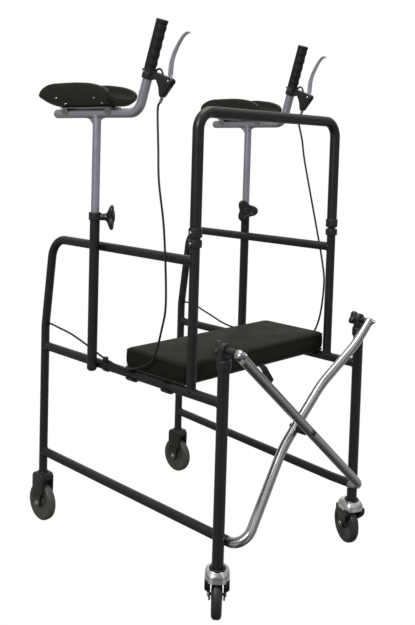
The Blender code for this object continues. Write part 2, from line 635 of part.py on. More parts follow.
    # Rear wheel housing: a forked block on the leg's foot, with the axle bolt through its two straps
    wide = REAR_WHEEL_W / 2 + 0.0022
    top = REAR_LEG_FOOT + 0.012
    outline = [(-0.0235, 0.075), (0.0235, 0.075), (0.0235, top - 0.007), (0.0165, top), (-0.0165, top),
               (-0.0235, top - 0.007)]
    spot = Matrix.Translation((x, 0, 0))
    house = prism("housing", outline, -0.019, 0.019, spot @ ALONG_X)
    strap = [(0.0115, 0.085)] + arc((0, WHEEL_R), 0.0115, 0, -180, 8) + [(-0.0115, 0.085)]
    add(house, prism("strap", strap, -wide - 0.004, wide + 0.004, spot @ ALONG_X))
    fork = [(-0.04, 0.0), (0.04, 0.0), (0.04, REAR_LEG_FOOT - 0.0045), (-0.04, REAR_LEG_FOOT - 0.0045)]
    cut(house, prism("fork", fork, -wide, wide, spot @ ALONG_X))
    cut(house, rod((x, 0, REAR_LEG_FOOT - GAP), (x, 0, top + 0.01), TUBE_R + GAP))
    cut(house, rod((x, 0, REAR_LEG_FOOT - 0.01), (x, 0, top), CABLE_D / 2 + 0.001, 10))
    out = wide + 0.009
    bolt = lathe("bolt", [(0, -out), (0.0065, -out + 0.001), (0.0065, -wide - 0.0035), (AXLE_R, -wide - 0.0035),
                          (AXLE_R, wide + 0.0035), (0.0065, wide + 0.0035), (0.0065, out - 0.001), (0, out)],
                 12, Matrix.Translation((x, 0, WHEEL_R)) @ ALONG_X)
    add(house, bolt)
    finish(house, "rear_housing_" + hand, PLASTIC)

    # Brake shoe, which the cable pushes down onto the tyre
    shoe = box("shoe", (x - 0.009, -0.016, WHEEL_R + 0.048), (x + 0.009, 0.016, REAR_LEG_FOOT - 0.0051))
    cut(shoe, rod((x - 0.03, 0, WHEEL_R), (x + 0.03, 0, WHEEL_R), WHEEL_R + 0.0036, 48))
    finish(shoe, "brake_shoe_" + hand, RUBBER, (x, 0, WHEEL_R + 0.06))

    # Rear wheel: hub and tyre
    spin = Matrix.Translation((x, 0, WHEEL_R)) @ ALONG_X
    rim = WHEEL_R - 0.0135
    w = REAR_WHEEL_W / 2
    hub = lathe("hub", [(AXLE_R + GAP, -w), (0.012, -w), (0.013, -w + 0.004), (rim - 0.006, -w + 0.004),
                        (rim - 0.004, -w + 0.001), (rim, -w + 0.001), (rim, w - 0.001), (rim - 0.004, w - 0.001),
                        (rim - 0.006, w - 0.004), (0.013, w - 0.004), (0.012, w), (AXLE_R + GAP, w)], 18, spin)
    finish(hub, "rear_hub_" + hand, PLASTIC, (x, 0, WHEEL_R))
    tyre = lathe("tyre", [(rim + GAP, -w), (rim + 0.009, -w), (WHEEL_R - 0.002, -w + 0.002),
                          (WHEEL_R, -w + 0.006), (WHEEL_R, w - 0.006), (WHEEL_R - 0.002, w - 0.002),
                          (rim + 0.009, w), (rim + GAP, w)], 24, spin)
    finish(tyre, "rear_tyre_" + hand, GREY_TYRE, (x, 0, WHEEL_R))

    # Front caster, drawn with its wheel trailing along the caster's own +y
    trail = Vector((-0.7355, -0.6775, 0)) if s > 0 else Vector((-0.453, -0.891, 0))
    angle = Vector((0, 1)).angle_signed(Vector((trail.x, trail.y)))
    swivel = Matrix.Translation((x, FRONT_LEG_Y, 0)) @ Matrix.Rotation(-angle, 4, "Z")
    t = CASTER_TRAIL
    w = CASTER_WHEEL_W / 2
    hood = box("hood", (-0.028, t - 0.042, 0.080), (0.028, t + 0.036, 0.1215), 0.014, 3, swivel)
    cut(hood, box("below", (-0.05, t - 0.06, 0.05), (0.05, t + 0.06, 0.088), place=swivel))
    shape = [(t + 0.014, 0.110), (t + 0.012, WHEEL_R)] + arc((t, WHEEL_R), 0.012, -15, -165, 7)
    shape += [(t - 0.012, WHEEL_R), (t - 0.014, 0.110)]
    add(hood, prism("leg", shape, -w - 0.0060, w + 0.0060, swivel @ ALONG_X))
    inside = [(t - 0.06, 0.0), (t + 0.06, 0.0), (t + 0.06, 0.104), (t - 0.06, 0.104)]
    cut(hood, prism("fork", inside, -w - 0.0025, w + 0.0025, swivel @ ALONG_X))
    stem = LEG_R - TUBE_WALL - GAP
    add(hood, rod((x, FRONT_LEG_Y, 0.110), (x, FRONT_LEG_Y, 0.160), stem))
    out = w + 0.0085
    rivet = lathe("rivet", [(0, -out), (0.0060, -out + 0.0015), (0.0060, -w - 0.0055), (AXLE_R, -w - 0.0055),
                            (AXLE_R, w + 0.0055), (0.0060, w + 0.0055), (0.0060, out - 0.0015), (0, out)],
                  12, swivel @ Matrix.Translation((0, t, WHEEL_R)) @ ALONG_X)
    add(hood, rivet)
    finish(hood, "caster_fork_" + hand, CHROME, (x, FRONT_LEG_Y, WHEEL_R))
    spin = swivel @ Matrix.Translation((0, t, WHEEL_R)) @ ALONG_X
    wheel = lathe("wheel", [(AXLE_R + GAP, -w), (0.013, -w), (0.014, -w + 0.004), (0.034, -w + 0.004),
                            (0.036, -w + 0.001), (WHEEL_R - 0.003, -w + 0.001),
                            (WHEEL_R, -w + 0.006), (WHEEL_R, w - 0.006), (WHEEL_R - 0.003, w - 0.001),
                            (0.036, w - 0.001), (0.034, w - 0.004), (0.014, w - 0.004),
                            (0.013, w), (AXLE_R + GAP, w)], 24, spin)
    finish(wheel, "caster_wheel_" + hand, BLACK_TYRE, swivel @ Vector((0, t, WHEEL_R)))


side("right", 1)
side("left", -1)

# Cross brace. The right brace runs straight from the left rail up to the right leg, in front.
over, up = brace_height(BRACE_TOP_LENGTH)
high = BOTTOM_RAIL_Z + up
turned = Vector((0, -1, 0))
for hand, s in (("right", 1), ("left", -1)):
    foot_x = -s * BRACE_X
    tip_x = foot_x + s * over
    if s > 0:
        route = [(tip_x, BRACE_RIGHT_Y, high), (foot_x, BRACE_RIGHT_Y, BOTTOM_RAIL_Z),
                 (foot_x, BOTTOM_RAIL_END + GAP, BOTTOM_RAIL_Z)]
        bends = [BRACE_RIGHT_Y - BOTTOM_RAIL_END - GAP - 0.0005]
    else:
        near_over, near_up = brace_height(BRACE_TOP_LENGTH - 0.080)
        mid_over, mid_up = brace_height(BRACE_TOP_LENGTH - 0.210)
        past_over, past_up = brace_height(0.240)
        low_over, low_up = brace_height(0.060)
        route = [(tip_x, BRACE_LEFT_TOP_Y, high),
                 (foot_x + s * near_over, BRACE_LEFT_TOP_Y, BOTTOM_RAIL_Z + near_up),
                 (foot_x + s * mid_over, BRACE_LEFT_MID_Y, BOTTOM_RAIL_Z + mid_up),
                 (foot_x + s * past_over, BRACE_LEFT_MID_Y, BOTTOM_RAIL_Z + past_up),
                 (foot_x, BRACE_LEFT_LOW_Y, BOTTOM_RAIL_Z),
                 (foot_x, BOTTOM_RAIL_END + GAP, BOTTOM_RAIL_Z)]
        bends = [0.25, 0.25, 0.30, 0.036]
    brace = tube("brace", rounded_path(route[::-1], bends[::-1]), BRACE_R, TUBE_WALL, 12, end="round",
                 filled=0.014)
    # A notch, open below, drops over the screw of the leg knob
    knob_x = s * HALF_WIDTH
    notch = [(knob_x - 0.0045, KNOB_Z - 0.03), (knob_x + 0.0045, KNOB_Z - 0.03)] + arc((knob_x, KNOB_Z), 0.0045,
                                                                                     0, 180, 6)
    plane = BRACE_RIGHT_Y if s > 0 else BRACE_LEFT_TOP_Y
    cut(brace, prism("notch", notch, -plane - 0.02, -plane + 0.02, Matrix.Rotation(pi / 2, 4, "X")))
    cut(brace, rod((0, 0.60, BRACE_PIVOT_Z), (0, 0.73, BRACE_PIVOT_Z), 0.0036, 12))
    plug = lathe("plug", [(0, 0.600), (SPIGOT_D / 2 - 0.001, 0.600), (SPIGOT_D / 2, 0.602),
                          (SPIGOT_D / 2, BOTTOM_RAIL_END + 0.001), (BRACE_R - 0.0008, BOTTOM_RAIL_END + 0.001),
                          (BRACE_R - 0.0008, BOTTOM_RAIL_END + 0.005), (0, BOTTOM_RAIL_END + 0.005)],
                 SIDES, Matrix.Translation((foot_x, 0, BOTTOM_RAIL_Z)) @ ALONG_Y)
    add(brace, plug)
    origin = (BRACE_X, BOTTOM_RAIL_END, BOTTOM_RAIL_Z) if s < 0 else (0, BRACE_RIGHT_Y, BRACE_PIVOT_Z)
    finish(brace, "brace_" + hand, CHROME, origin)

# Spacer block between the braces, and the bolt through both
rear = BRACE_LEFT_MID_Y - BRACE_R
ahead = BRACE_RIGHT_Y + BRACE_R
block = lathe("block", [(0, rear - 0.006), (0.0065, rear - 0.005), (0.0065, rear - GAP), (0.003, rear - GAP),
                        (0.003, BRACE_LEFT_MID_Y + BRACE_R + GAP), (0.0115, BRACE_LEFT_MID_Y + BRACE_R + GAP),
                        (0.0115, BRACE_RIGHT_Y - BRACE_R - GAP), (0.003, BRACE_RIGHT_Y - BRACE_R - GAP),
                        (0.003, ahead + GAP), (0.0065, ahead + GAP), (0.0065, ahead + 0.005),
                        (0, ahead + 0.006)], 14,
              Matrix.Translation((0, 0, BRACE_PIVOT_Z)) @ ALONG_Y)
finish(block, "brace_pivot", PLASTIC, (0, 0.661, BRACE_PIVOT_Z))

# Backrest bar, a U that slips over the right upright, and a ring round each of its feet
bar = tube("bar", rounded_path([(HALF_WIDTH, UPRIGHT_Y, BACKREST_FOOT), (HALF_WIDTH, UPRIGHT_Y, BACKREST_TOP),
                                (-HALF_WIDTH, UPRIGHT_Y, BACKREST_TOP), (-HALF_WIDTH, UPRIGHT_Y, BACKREST_FOOT)],
                               [BACKREST_BEND, BACKREST_BEND]), BACK_R, BACKREST_WALL)
finish(bar, "backrest_bar", FRAME_PAINT, (HALF_WIDTH, UPRIGHT_Y, BACKREST_FOOT))
for hand, s in (("right", 1), ("left", -1)):
    low = BACKREST_FOOT + 0.0025
    ring = lathe("ring", [(BACK_R + GAP, low), (COLLAR_D / 2, low), (COLLAR_D / 2 + 0.0005, low + 0.002),
                          (COLLAR_D / 2 + 0.0005, low + 0.017), (COLLAR_D / 2, low + 0.019),
                          (BACK_R + GAP, low + 0.019)], SIDES,
                 Matrix.Translation((s * HALF_WIDTH, UPRIGHT_Y, 0)))
    finish(ring, "backrest_ring_" + hand, PLASTIC, (HALF_WIDTH, UPRIGHT_Y, BACKREST_FOOT))

# Seat board with two clips that turn on the right middle rail
hinge = (HALF_WIDTH, (SEAT_BACK + SEAT_FRONT) / 2, MIDDLE_RAIL_Z)
under = MIDDLE_RAIL_Z + TUBE_R + 0.0005
board = box("board", (-SEAT_HALF + 0.012, SEAT_BACK + 0.007, under),
            (SEAT_HALF - 0.012, SEAT_FRONT - 0.007, under + BOARD_THICK), 0.0012, 1)
for y in (SEAT_BACK + 0.025, SEAT_FRONT - 0.057):
    outline = [(0.0135, 0.014), (-0.030, 0.014), (-0.024, 0.002)] + arc((0, 0), 0.0165, 170, 330, 10)
    outline += arc((0, 0), TUBE_R + 0.0008, 330, 60, 14)
    clip = prism("clip", outline, -(y + 0.012), -(y - 0.012),
                 Matrix.Translation((HALF_WIDTH, 0, MIDDLE_RAIL_Z)) @ Matrix.Rotation(pi / 2, 4, "X"))
    add(board, clip)
finish(board, "seat_board", PLASTIC, hinge)

# Seat cushion: stacked rounded outlines, drawn in at the bottom and crowned on top
base = under + BOARD_THICK + GAP
levels = [(base, 0.008), (base + 0.004, 0.002), (base + 0.013, 0.0), (SEAT_TOP - 0.018, 0.0),
          (SEAT_TOP - 0.009, 0.003), (SEAT_TOP - 0.003, 0.009), (SEAT_TOP, 0.020)]
wide = SEAT_HALF
deep = (SEAT_FRONT - SEAT_BACK) / 2
rings = []
for z, draw in levels:
    ring = []
    curl = 0.022
    for corner in range(4):
        cx = (wide - curl) * (1 if corner in (0, 3) else -1)
        cy = (deep - curl) * (1 if corner in (0, 1) else -1)
        for k in range(4):
            t = pi / 2 * corner + pi / 2 * k / 3
            ring.append(Vector((cx + curl * cos(t), cy + curl * sin(t), z)))
        nxt = (corner + 1) % 4
        nx = (wide - curl) * (1 if nxt in (0, 3) else -1)
        ny = (deep - curl) * (1 if nxt in (0, 1) else -1)
        t = pi / 2 * (corner + 1)
        start = Vector((cx + curl * cos(t), cy + curl * sin(t), z))
        end = Vector((nx + curl * cos(t), ny + curl * sin(t), z))
        for k in range(1, 6):
            ring.append(start + (end - start) * (k / 6))
    for p in ring:
        p.x *= (wide - draw) / wide
        p.y *= (deep - draw) / deep
        p.y += (SEAT_BACK + SEAT_FRONT) / 2
    rings.append(ring)
middle = Vector((0, (SEAT_BACK + SEAT_FRONT) / 2, 0))
for shrink in (0.82, 0.62, 0.40, 0.18):
    ring = []
    for p in rings[6]:
        q = middle + (Vector((p.x, p.y, 0)) - middle) * shrink
        q.z = SEAT_TOP + SEAT_CROWN * (1 - shrink ** 2)
        ring.append(q)
    rings.append(ring)
shape = bmesh.new()
skin(shape, rings)
cushion = solid("cushion", shape)
finish(cushion, "seat_cushion", COVER, hinge)

# Pull strap that lifts the seat
strap = smooth([(-0.006, SEAT_FRONT - 0.0045, under + 0.0025), (-0.008, SEAT_FRONT + 0.004, under - 0.004),
                (-0.020, SEAT_FRONT + 0.006, under - 0.022), (-0.040, SEAT_FRONT + 0.004, under - 0.045)], 0.010)
rings = []
for n, here in enumerate(strap):
    way = (strap[min(n + 1, len(strap) - 1)] - strap[max(n - 1, 0)]).normalized()
    flat = Vector((0.95, 0, -0.3)) if n > 2 else Vector((1, 0, 0))
    flat = (flat - way * flat.dot(way)).normalized()
    thin = way.cross(flat)
    rings.append([here + flat * (u * 0.0095) + thin * (v * 0.0008) for u, v in ((-1, -1), (1, -1), (1, 1), (-1, 1))])
shape = bmesh.new()
skin(shape, rings)
finish(solid("strap", shape), "pull_strap", WEBBING, hinge)

# Put the origin on the floor under the middle of the whole walker
bpy.context.view_layer.update()
pieces = [made for made in bpy.data.objects if made.type == "MESH"]
spread = [made.matrix_world @ Vector(corner) for made in pieces for corner in made.bound_box]
shift = Vector((-(min(p.x for p in spread) + max(p.x for p in spread)) / 2,
                -(min(p.y for p in spread) + max(p.y for p in spread)) / 2,
                -min(p.z for p in spread)))
for made in pieces:
    made.location += shift
bpy.context.view_layer.update()
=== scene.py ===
# The look of the underarm walker: smooth tubes, welds, foam pads, cushion, cables, materials and light.
# Metres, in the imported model's frame. Shapes are drawn with y = 0 over the rear axle and moved by SHIFT.
import bpy
import bmesh
from math import sin, cos, tan, pi, radians, sqrt
from mathutils import Vector, Matrix, noise


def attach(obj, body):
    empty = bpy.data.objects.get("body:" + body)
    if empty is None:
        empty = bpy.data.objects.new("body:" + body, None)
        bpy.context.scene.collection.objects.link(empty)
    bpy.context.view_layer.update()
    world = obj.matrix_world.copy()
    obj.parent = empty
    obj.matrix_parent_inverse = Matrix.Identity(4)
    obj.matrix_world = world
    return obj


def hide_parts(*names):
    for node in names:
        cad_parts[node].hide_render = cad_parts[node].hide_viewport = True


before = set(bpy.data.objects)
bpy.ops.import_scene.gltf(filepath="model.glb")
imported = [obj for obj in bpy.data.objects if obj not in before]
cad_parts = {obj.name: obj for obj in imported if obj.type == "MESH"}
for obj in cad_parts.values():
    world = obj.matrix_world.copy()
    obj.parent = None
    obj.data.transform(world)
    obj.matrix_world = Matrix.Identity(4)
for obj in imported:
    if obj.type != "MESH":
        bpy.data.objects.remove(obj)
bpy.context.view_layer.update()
SHIFT = Vector((0.0, -0.3295, 0.0))

# Camera
EYE = Vector((1.45403, 1.75732, 0.99732))
YAW, PITCH, ROLL = radians(45.7975), radians(3.3866), radians(1.6831)
back = Vector((sin(YAW) * cos(PITCH), cos(YAW) * cos(PITCH), sin(PITCH)))
right = (-back).cross(Vector((0, 0, 1))).normalized()
up = right.cross(-back)
right_turned = right * cos(ROLL) + up * sin(ROLL)
up_turned = up * cos(ROLL) - right * sin(ROLL)
lens = bpy.data.cameras.new("camera")
lens.sensor_fit = "AUTO"
lens.sensor_width = 36.0
lens.lens = 45.78
lens.shift_x = 0.0
lens.shift_y = -0.18
lens.clip_start = 0.05
lens.clip_end = 50.0
camera = bpy.data.objects.new("camera", lens)
bpy.context.scene.collection.objects.link(camera)
turn = Matrix((right_turned, up_turned, back)).transposed().to_4x4()
camera.matrix_world = Matrix.Translation(EYE + SHIFT) @ turn
scene = bpy.context.scene
scene.camera = camera
scene.render.resolution_x = 415
scene.render.resolution_y = 625
scene.render.resolution_percentage = 100
scene.view_settings.view_transform = "Standard"

# World: white behind the walker, for the camera and for metal that mirrors that side.
# The rest is a dim room with bright streaks, a dark floor and a pale ceiling.
world = bpy.data.worlds.new("studio")
scene.world = world
world.use_nodes = True
nodes, links = world.node_tree.nodes, world.node_tree.links
nodes.clear()


def world_math(operation, a, b):
    made = nodes.new("ShaderNodeMath")
    made.operation = operation
    made.use_clamp = True
    links.new(a, made.inputs[0])
    if isinstance(b, float):
        made.inputs[1].default_value = b
    else:
        links.new(b, made.inputs[1])
    return made.outputs[0]


def world_range(value, low, high):
    made = nodes.new("ShaderNodeMapRange")
    made.inputs["From Min"].default_value = low
    made.inputs["From Max"].default_value = high
    links.new(value, made.inputs["Value"])
    return made.outputs["Result"]


def world_ramp(value, stops):
    made = nodes.new("ShaderNodeValToRGB")
    for place, colour in stops:
        band = made.color_ramp
        stop = band.elements.new(place) if 0 < place < 1 else band.elements[int(place)]
        stop.color = (*colour, 1)
    links.new(value, made.inputs["Fac"])
    return made.outputs["Color"]


out = nodes.new("ShaderNodeOutputWorld")
mix = nodes.new("ShaderNodeMixShader")
plain = nodes.new("ShaderNodeBackground")
studio = nodes.new("ShaderNodeBackground")
path = nodes.new("ShaderNodeLightPath")
coords = nodes.new("ShaderNodeTexCoord")
split = nodes.new("ShaderNodeSeparateXYZ")
around = nodes.new("ShaderNodeTexGradient")
around.gradient_type = "RADIAL"
away = nodes.new("ShaderNodeVectorMath")
away.operation = "DOT_PRODUCT"
away.inputs[1].default_value = (-0.7, -0.71, 0.0)
links.new(coords.outputs["Generated"], split.inputs[0])
links.new(coords.outputs["Generated"], around.inputs[0])
links.new(coords.outputs["Generated"], away.inputs[0])
plain.inputs["Color"].default_value = (1, 1, 1, 1)
plain.inputs["Strength"].default_value = 1.0
heights = world_ramp(world_range(split.outputs["Z"], -1.0, 1.0),
                     ((0.0, (0.05, 0.05, 0.045)), (0.4, (0.09, 0.09, 0.085)), (0.49, (0.16, 0.16, 0.18)),
                      (0.56, (0.34, 0.34, 0.38)), (0.66, (0.55, 0.56, 0.54)), (0.82, (0.8, 0.8, 0.72)),
                      (1.0, (0.62, 0.62, 0.55))))
streaks = world_ramp(around.outputs["Fac"],
                     ((0.0, (1.15, 1.15, 1.15)), (0.3, (1.1, 1.1, 1.1)), (0.47, (0.75, 0.75, 0.75)),
                      (0.545, (1.5, 1.5, 1.5)), (0.575, (0.5, 0.5, 0.5)), (0.66, (0.42, 0.42, 0.42)),
                      (0.735, (1.35, 1.35, 1.35)), (0.77, (0.6, 0.6, 0.6)), (1.0, (0.9, 0.9, 0.9))))
room = nodes.new("ShaderNodeMix")
room.data_type = "RGBA"
room.blend_type = "MULTIPLY"
room.inputs["Factor"].default_value = 1.0
links.new(heights, room.inputs["A"])
links.new(streaks, room.inputs["B"])
links.new(room.outputs["Result"], studio.inputs["Color"])
studio.inputs["Strength"].default_value = 0.85
mirrored = world_math("ADD", path.outputs["Is Glossy Ray"], path.outputs["Is Transmission Ray"])
behind = world_math("MULTIPLY", world_range(away.outputs["Value"], 0.72, 0.96),
                    world_range(split.outputs["Z"], -0.1, 0.02))
white = world_math("ADD", path.outputs["Is Camera Ray"], world_math("MULTIPLY", mirrored, behind))
links.new(white, mix.inputs["Fac"])
links.new(studio.outputs[0], mix.inputs[1])
links.new(plain.outputs[0], mix.inputs[2])
links.new(mix.outputs[0], out.inputs["Surface"])


def lamp(name, where, aim, size, power, colour=(1, 1, 1)):
    light = bpy.data.lights.new(name, "AREA")
    light.energy = power
    light.color = colour
    light.size = size
    made = bpy.data.objects.new(name, light)
    made.location = Vector(where) + SHIFT
    made.rotation_mode = "QUATERNION"
    made.rotation_quaternion = (Vector(where) - Vector(aim)).to_track_quat("Z", "Y")
    scene.collection.objects.link(made)
    return made


lamp("key", (2.6, 1.3, 2.4), (0, 0.35, 0.6), 0.9, 52)
lamp("fill", (-0.6, 3.0, 1.6), (0, 0.35, 0.6), 1.4, 34, (0.84, 0.88, 1.0))
lamp("over", (0.0, 0.3, 3.0), (0, 0.35, 0.6), 1.6, 33, (1.0, 1.0, 0.88))
lamp("back", (-2.6, -1.4, 1.5), (0, 0.3, 0.6), 1.2, 26)
# The metal and the seat mirror the room, not these two lamps
for name in ("fill", "back"):
    bpy.data.objects[name].visible_glossy = False


# Materials
def material(name, colour, metallic=0.0, rough=0.4, spread=0.06, grain=0.0, scale=300.0, coat=0.0,
             tint=0.1, cells=False, shine=0.5):
    """A Principled surface with uneven roughness and colour, and a fine bump from noise or small cells."""
    made = bpy.data.materials.new(name)
    made.use_nodes = True
    n, k = made.node_tree.nodes, made.node_tree.links
    shader = n["Principled BSDF"]
    shader.inputs["Metallic"].default_value = metallic
    shader.inputs["Specular IOR Level"].default_value = shine
    shader.inputs["Coat Weight"].default_value = coat
    shader.inputs["Coat Roughness"].default_value = 0.25
    place = n.new("ShaderNodeTexCoord")
    wide = n.new("ShaderNodeTexNoise")
    wide.inputs["Scale"].default_value = 22.0
    wide.inputs["Detail"].default_value = 5.0
    k.new(place.outputs["Object"], wide.inputs["Vector"])
    level = n.new("ShaderNodeMapRange")
    level.inputs["From Min"].default_value = 0.3
    level.inputs["From Max"].default_value = 0.7
    level.inputs["To Min"].default_value = max(0.02, rough - spread)
    level.inputs["To Max"].default_value = rough + spread
    k.new(wide.outputs["Fac"], level.inputs["Value"])
    k.new(level.outputs["Result"], shader.inputs["Roughness"])
    shade = n.new("ShaderNodeMix")
    shade.data_type = "RGBA"
    shade.inputs["A"].default_value = (*[c * (1 - tint) for c in colour], 1)
    shade.inputs["B"].default_value = (*[min(1, c * (1 + tint)) for c in colour], 1)
    k.new(wide.outputs["Fac"], shade.inputs["Factor"])
    k.new(shade.outputs["Result"], shader.inputs["Base Color"])
    if grain:
        if cells:
            fine = n.new("ShaderNodeTexVoronoi")
            fine.inputs["Scale"].default_value = scale
            source = fine.outputs["Distance"]
        else:
            fine = n.new("ShaderNodeTexNoise")
            fine.inputs["Scale"].default_value = scale
            fine.inputs["Detail"].default_value = 3.0
            source = fine.outputs["Fac"]
        k.new(place.outputs["Object"], fine.inputs["Vector"])
        bump = n.new("ShaderNodeBump")
        bump.inputs["Strength"].default_value = grain
        bump.inputs["Distance"].default_value = 0.0006
        k.new(source, bump.inputs["Height"])
        k.new(bump.outputs["Normal"], shader.inputs["Normal"])
    return made


PAINT = material("frame_paint", (0.0105, 0.0105, 0.0115), 0.0, 0.4, grain=0.08, scale=900, coat=0.05,
                 shine=0.38)
SILVER = material("silver_paint", (0.36, 0.36, 0.42), 0.55, 0.36, grain=0.06, scale=1200)
CHROME = material("chrome", (0.5, 0.5, 0.54), 1.0, 0.2, spread=0.05, grain=0.05, scale=500)
HOOD = material("bright_plate", (0.72, 0.73, 0.75), 1.0, 0.24, spread=0.12, grain=0.08, scale=400)
ZINC = material("zinc", (0.42, 0.42, 0.42), 1.0, 0.3, spread=0.08, grain=0.05, scale=500)
LEVER = material("lever_metal", (0.46, 0.46, 0.52), 0.6, 0.34, grain=0.05, scale=600)
PLASTIC = material("black_plastic", (0.011, 0.011, 0.012), 0.0, 0.42, grain=0.12, scale=1400)
RUBBER = material("grip_rubber", (0.008, 0.008, 0.009), 0.0, 0.55, grain=0.25, scale=1500, shine=0.3)
CABLE = material("cable_skin", (0.01, 0.01, 0.011), 0.0, 0.38, grain=0.05, scale=900)
FOAM = material("pad_cover", (0.014, 0.014, 0.01), 0.0, 0.5, grain=0.3, scale=1100, cells=True, tint=0.2,
                shine=0.3)
VINYL = material("seat_cover", (0.013, 0.0125, 0.009), 0.0, 0.6, grain=0.35, scale=700, cells=True, tint=0.2,
                 shine=0.06)
WEB = material("strap_webbing", (0.01, 0.01, 0.01), 0.0, 0.8, grain=0.6, scale=900)
GREY = material("grey_tyre", (0.06, 0.06, 0.05), 0.0, 0.45, grain=0.15, scale=700, tint=0.2)
BLACK = material("black_tyre", (0.021, 0.022, 0.02), 0.0, 0.45, grain=0.15, scale=700, tint=0.2)

# Sizes, as in the CAD part
HALF_WIDTH = 0.25
TUBE_R, LEG_R, BRACE_R, BACK_R, POST_R = 0.011, 0.0127, 0.011, 0.0127, 0.012
BAR_R, HEIGHT_R, WHEEL_R, AXLE_R, CABLE_R = 0.011, 0.01, 0.05, 0.004, 0.0025
WALL, BACK_WALL, GAP = 0.0015, 0.0012, 0.0003
# Clearances of a ring on its tube, and how far a welded tube's end stays from the other tube's middle
FIT, SNUG, JOIN = 0.0002, 0.0001, 0.006
FRONT_LEG_Y, UPRIGHT_Y, POST_Y = 0.648, 0.553, 0.2325
TOP_RAIL_Z, MIDDLE_RAIL_Z, BOTTOM_RAIL_Z = 0.763, 0.474, 0.172
LEG_TOP, UPRIGHT_TOP, POST_TOP, BAR_Z = 0.5635, 0.81, 0.8315, 1.084
KNOB_Z, HEIGHT_KNOB_Z, PIVOT_Z = 0.588, 0.836, 0.3676
BRACE_X = HALF_WIDTH - LEG_R - TUBE_R - GAP
POST_X = HALF_WIDTH + TUBE_R + POST_R + GAP
# Where each brace passes the knob screw that it hangs on, and where it turns in its socket
BRACE_Y = {"right": 0.692, "left": 0.676}
SOCKET_Y = 0.6553
RAIL_START_Z = 0.188
CABLE_HOLE_Z = 0.534
HEIGHT_KNOB_R, COLLAR_R, SCREW_R = 0.033, 0.015, 0.0036
BAR_BACK = 0.15
REAR_HALF, CASTER_HALF = 0.0105, 0.0125
FORK_HALF = REAR_HALF + 0.0022
TRAIL = 0.022

# The handle's lean and each rest's turn inwards, and places along the bar, in the rest's own frame
LEAN, TOE = radians(17.75), radians(5.2)
GRIP_LOW, GRIP_LENGTH, GRIP_D, HANDLE_Y = 0.0966, 0.1195, 0.027, 0.138
RIDGES = 5
BAND_LOW, BAND_HIGH = GRIP_LOW - 0.0155, GRIP_LOW - 0.0025
HANDLE = Vector((0, sin(LEAN), cos(LEAN)))
AHEAD = Vector((0, cos(LEAN), -sin(LEAN)))
ACROSS = Vector((1, 0, 0))
FOOT = Vector((0, HANDLE_Y, 0))
MIDDLE = FOOT + HANDLE * (BAND_LOW + 0.0065)
PIVOT = MIDDLE + Vector((0, 0.0665, -0.0155))
FERRULE = MIDDLE + Vector((0, 0.0443, -0.0495))
CABLE_WAY = Vector((0, -0.42, -0.91)).normalized()

# The pads' rounded ends along the bar, their base, and the height of their wings above it
PAD_REAR, PAD_FRONT, PAD_HEIGHT = -0.158, 0.085, 0.052
PAD_BASE = BAR_R + 0.0039
PAD_HALF, PAD_THICK = 0.05, 0.009
STUDS = ((-0.1, 0.036), (-0.078, 0.0227), (0.034, 0.0346), (0.051, 0.023))

# The seat cushion: its middle, its half sizes, its underside and top, and its corners' radius
SEAT_Y, SEAT_HALF_X, SEAT_HALF_Y = 0.4365, 0.257, 0.1015
SEAT_LOW, SEAT_TOP, SEAT_CURL = 0.4908, 0.535, 0.011
STRAP_TOP = 0.4855

# The sides of a tube, and the angle over which an edge shows as sharp
SIDES = 40
SHARP = radians(38)
# A weld bead's radius, and a round end's height as a share of its tube's radius
BEAD, DOME = 0.0017, 0.6
# Places that lay a shape's own z axis along x or along y, and one that stands an outline up
ALONG_X = Matrix(((0, 0, 1, 0), (1, 0, 0, 0), (0, 1, 0, 0), (0, 0, 0, 1)))
ALONG_Y = Matrix(((0, 1, 0, 0), (0, 0, 1, 0), (1, 0, 0, 0), (0, 0, 0, 1)))
UPRIGHT = Matrix.Rotation(pi / 2, 4, "X")


# Making pieces
def shaped(name, shape):
    """An object made from a shape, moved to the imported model's place."""
    bmesh.ops.remove_doubles(shape, verts=shape.verts, dist=1e-6)
    bmesh.ops.recalc_face_normals(shape, faces=shape.faces)
    bmesh.ops.translate(shape, verts=shape.verts, vec=SHIFT)
    mesh = bpy.data.meshes.new(name)
    shape.to_mesh(mesh)
    shape.free()
    made = bpy.data.objects.new(name, mesh)
    scene.collection.objects.link(made)
    return made


def shade(made, look):
    made.data.materials.clear()
    made.data.materials.append(look)
    made.data.shade_smooth()
    made.data.set_sharp_from_angle(angle=SHARP)


def solid(name, shape, look, body, *stands_for, slot=None):
    """A piece of the walker, the body it rides on, and the CAD nodes that it stands for."""
    made = shaped(name, shape)
    shade(made, look)
    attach(made, body)
    if stands_for:
        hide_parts(*stands_for)
    return made


def carve(made, shape, operation="DIFFERENCE"):
    """Cut a shape out of a finished piece, join it on, or keep only what lies in it."""
    tool = shaped("tool", shape)
    step = made.modifiers.new("cut", "BOOLEAN")
    step.operation = operation
    step.solver = "EXACT"
    step.object = tool
    bpy.context.view_layer.update()
    look = made.data.materials[0]
    seen = made.evaluated_get(bpy.context.evaluated_depsgraph_get())
    fresh = bpy.data.meshes.new_from_object(seen)
    made.modifiers.clear()
    made.data = fresh
    shade(made, look)
    bpy.data.objects.remove(tool, do_unlink=True)


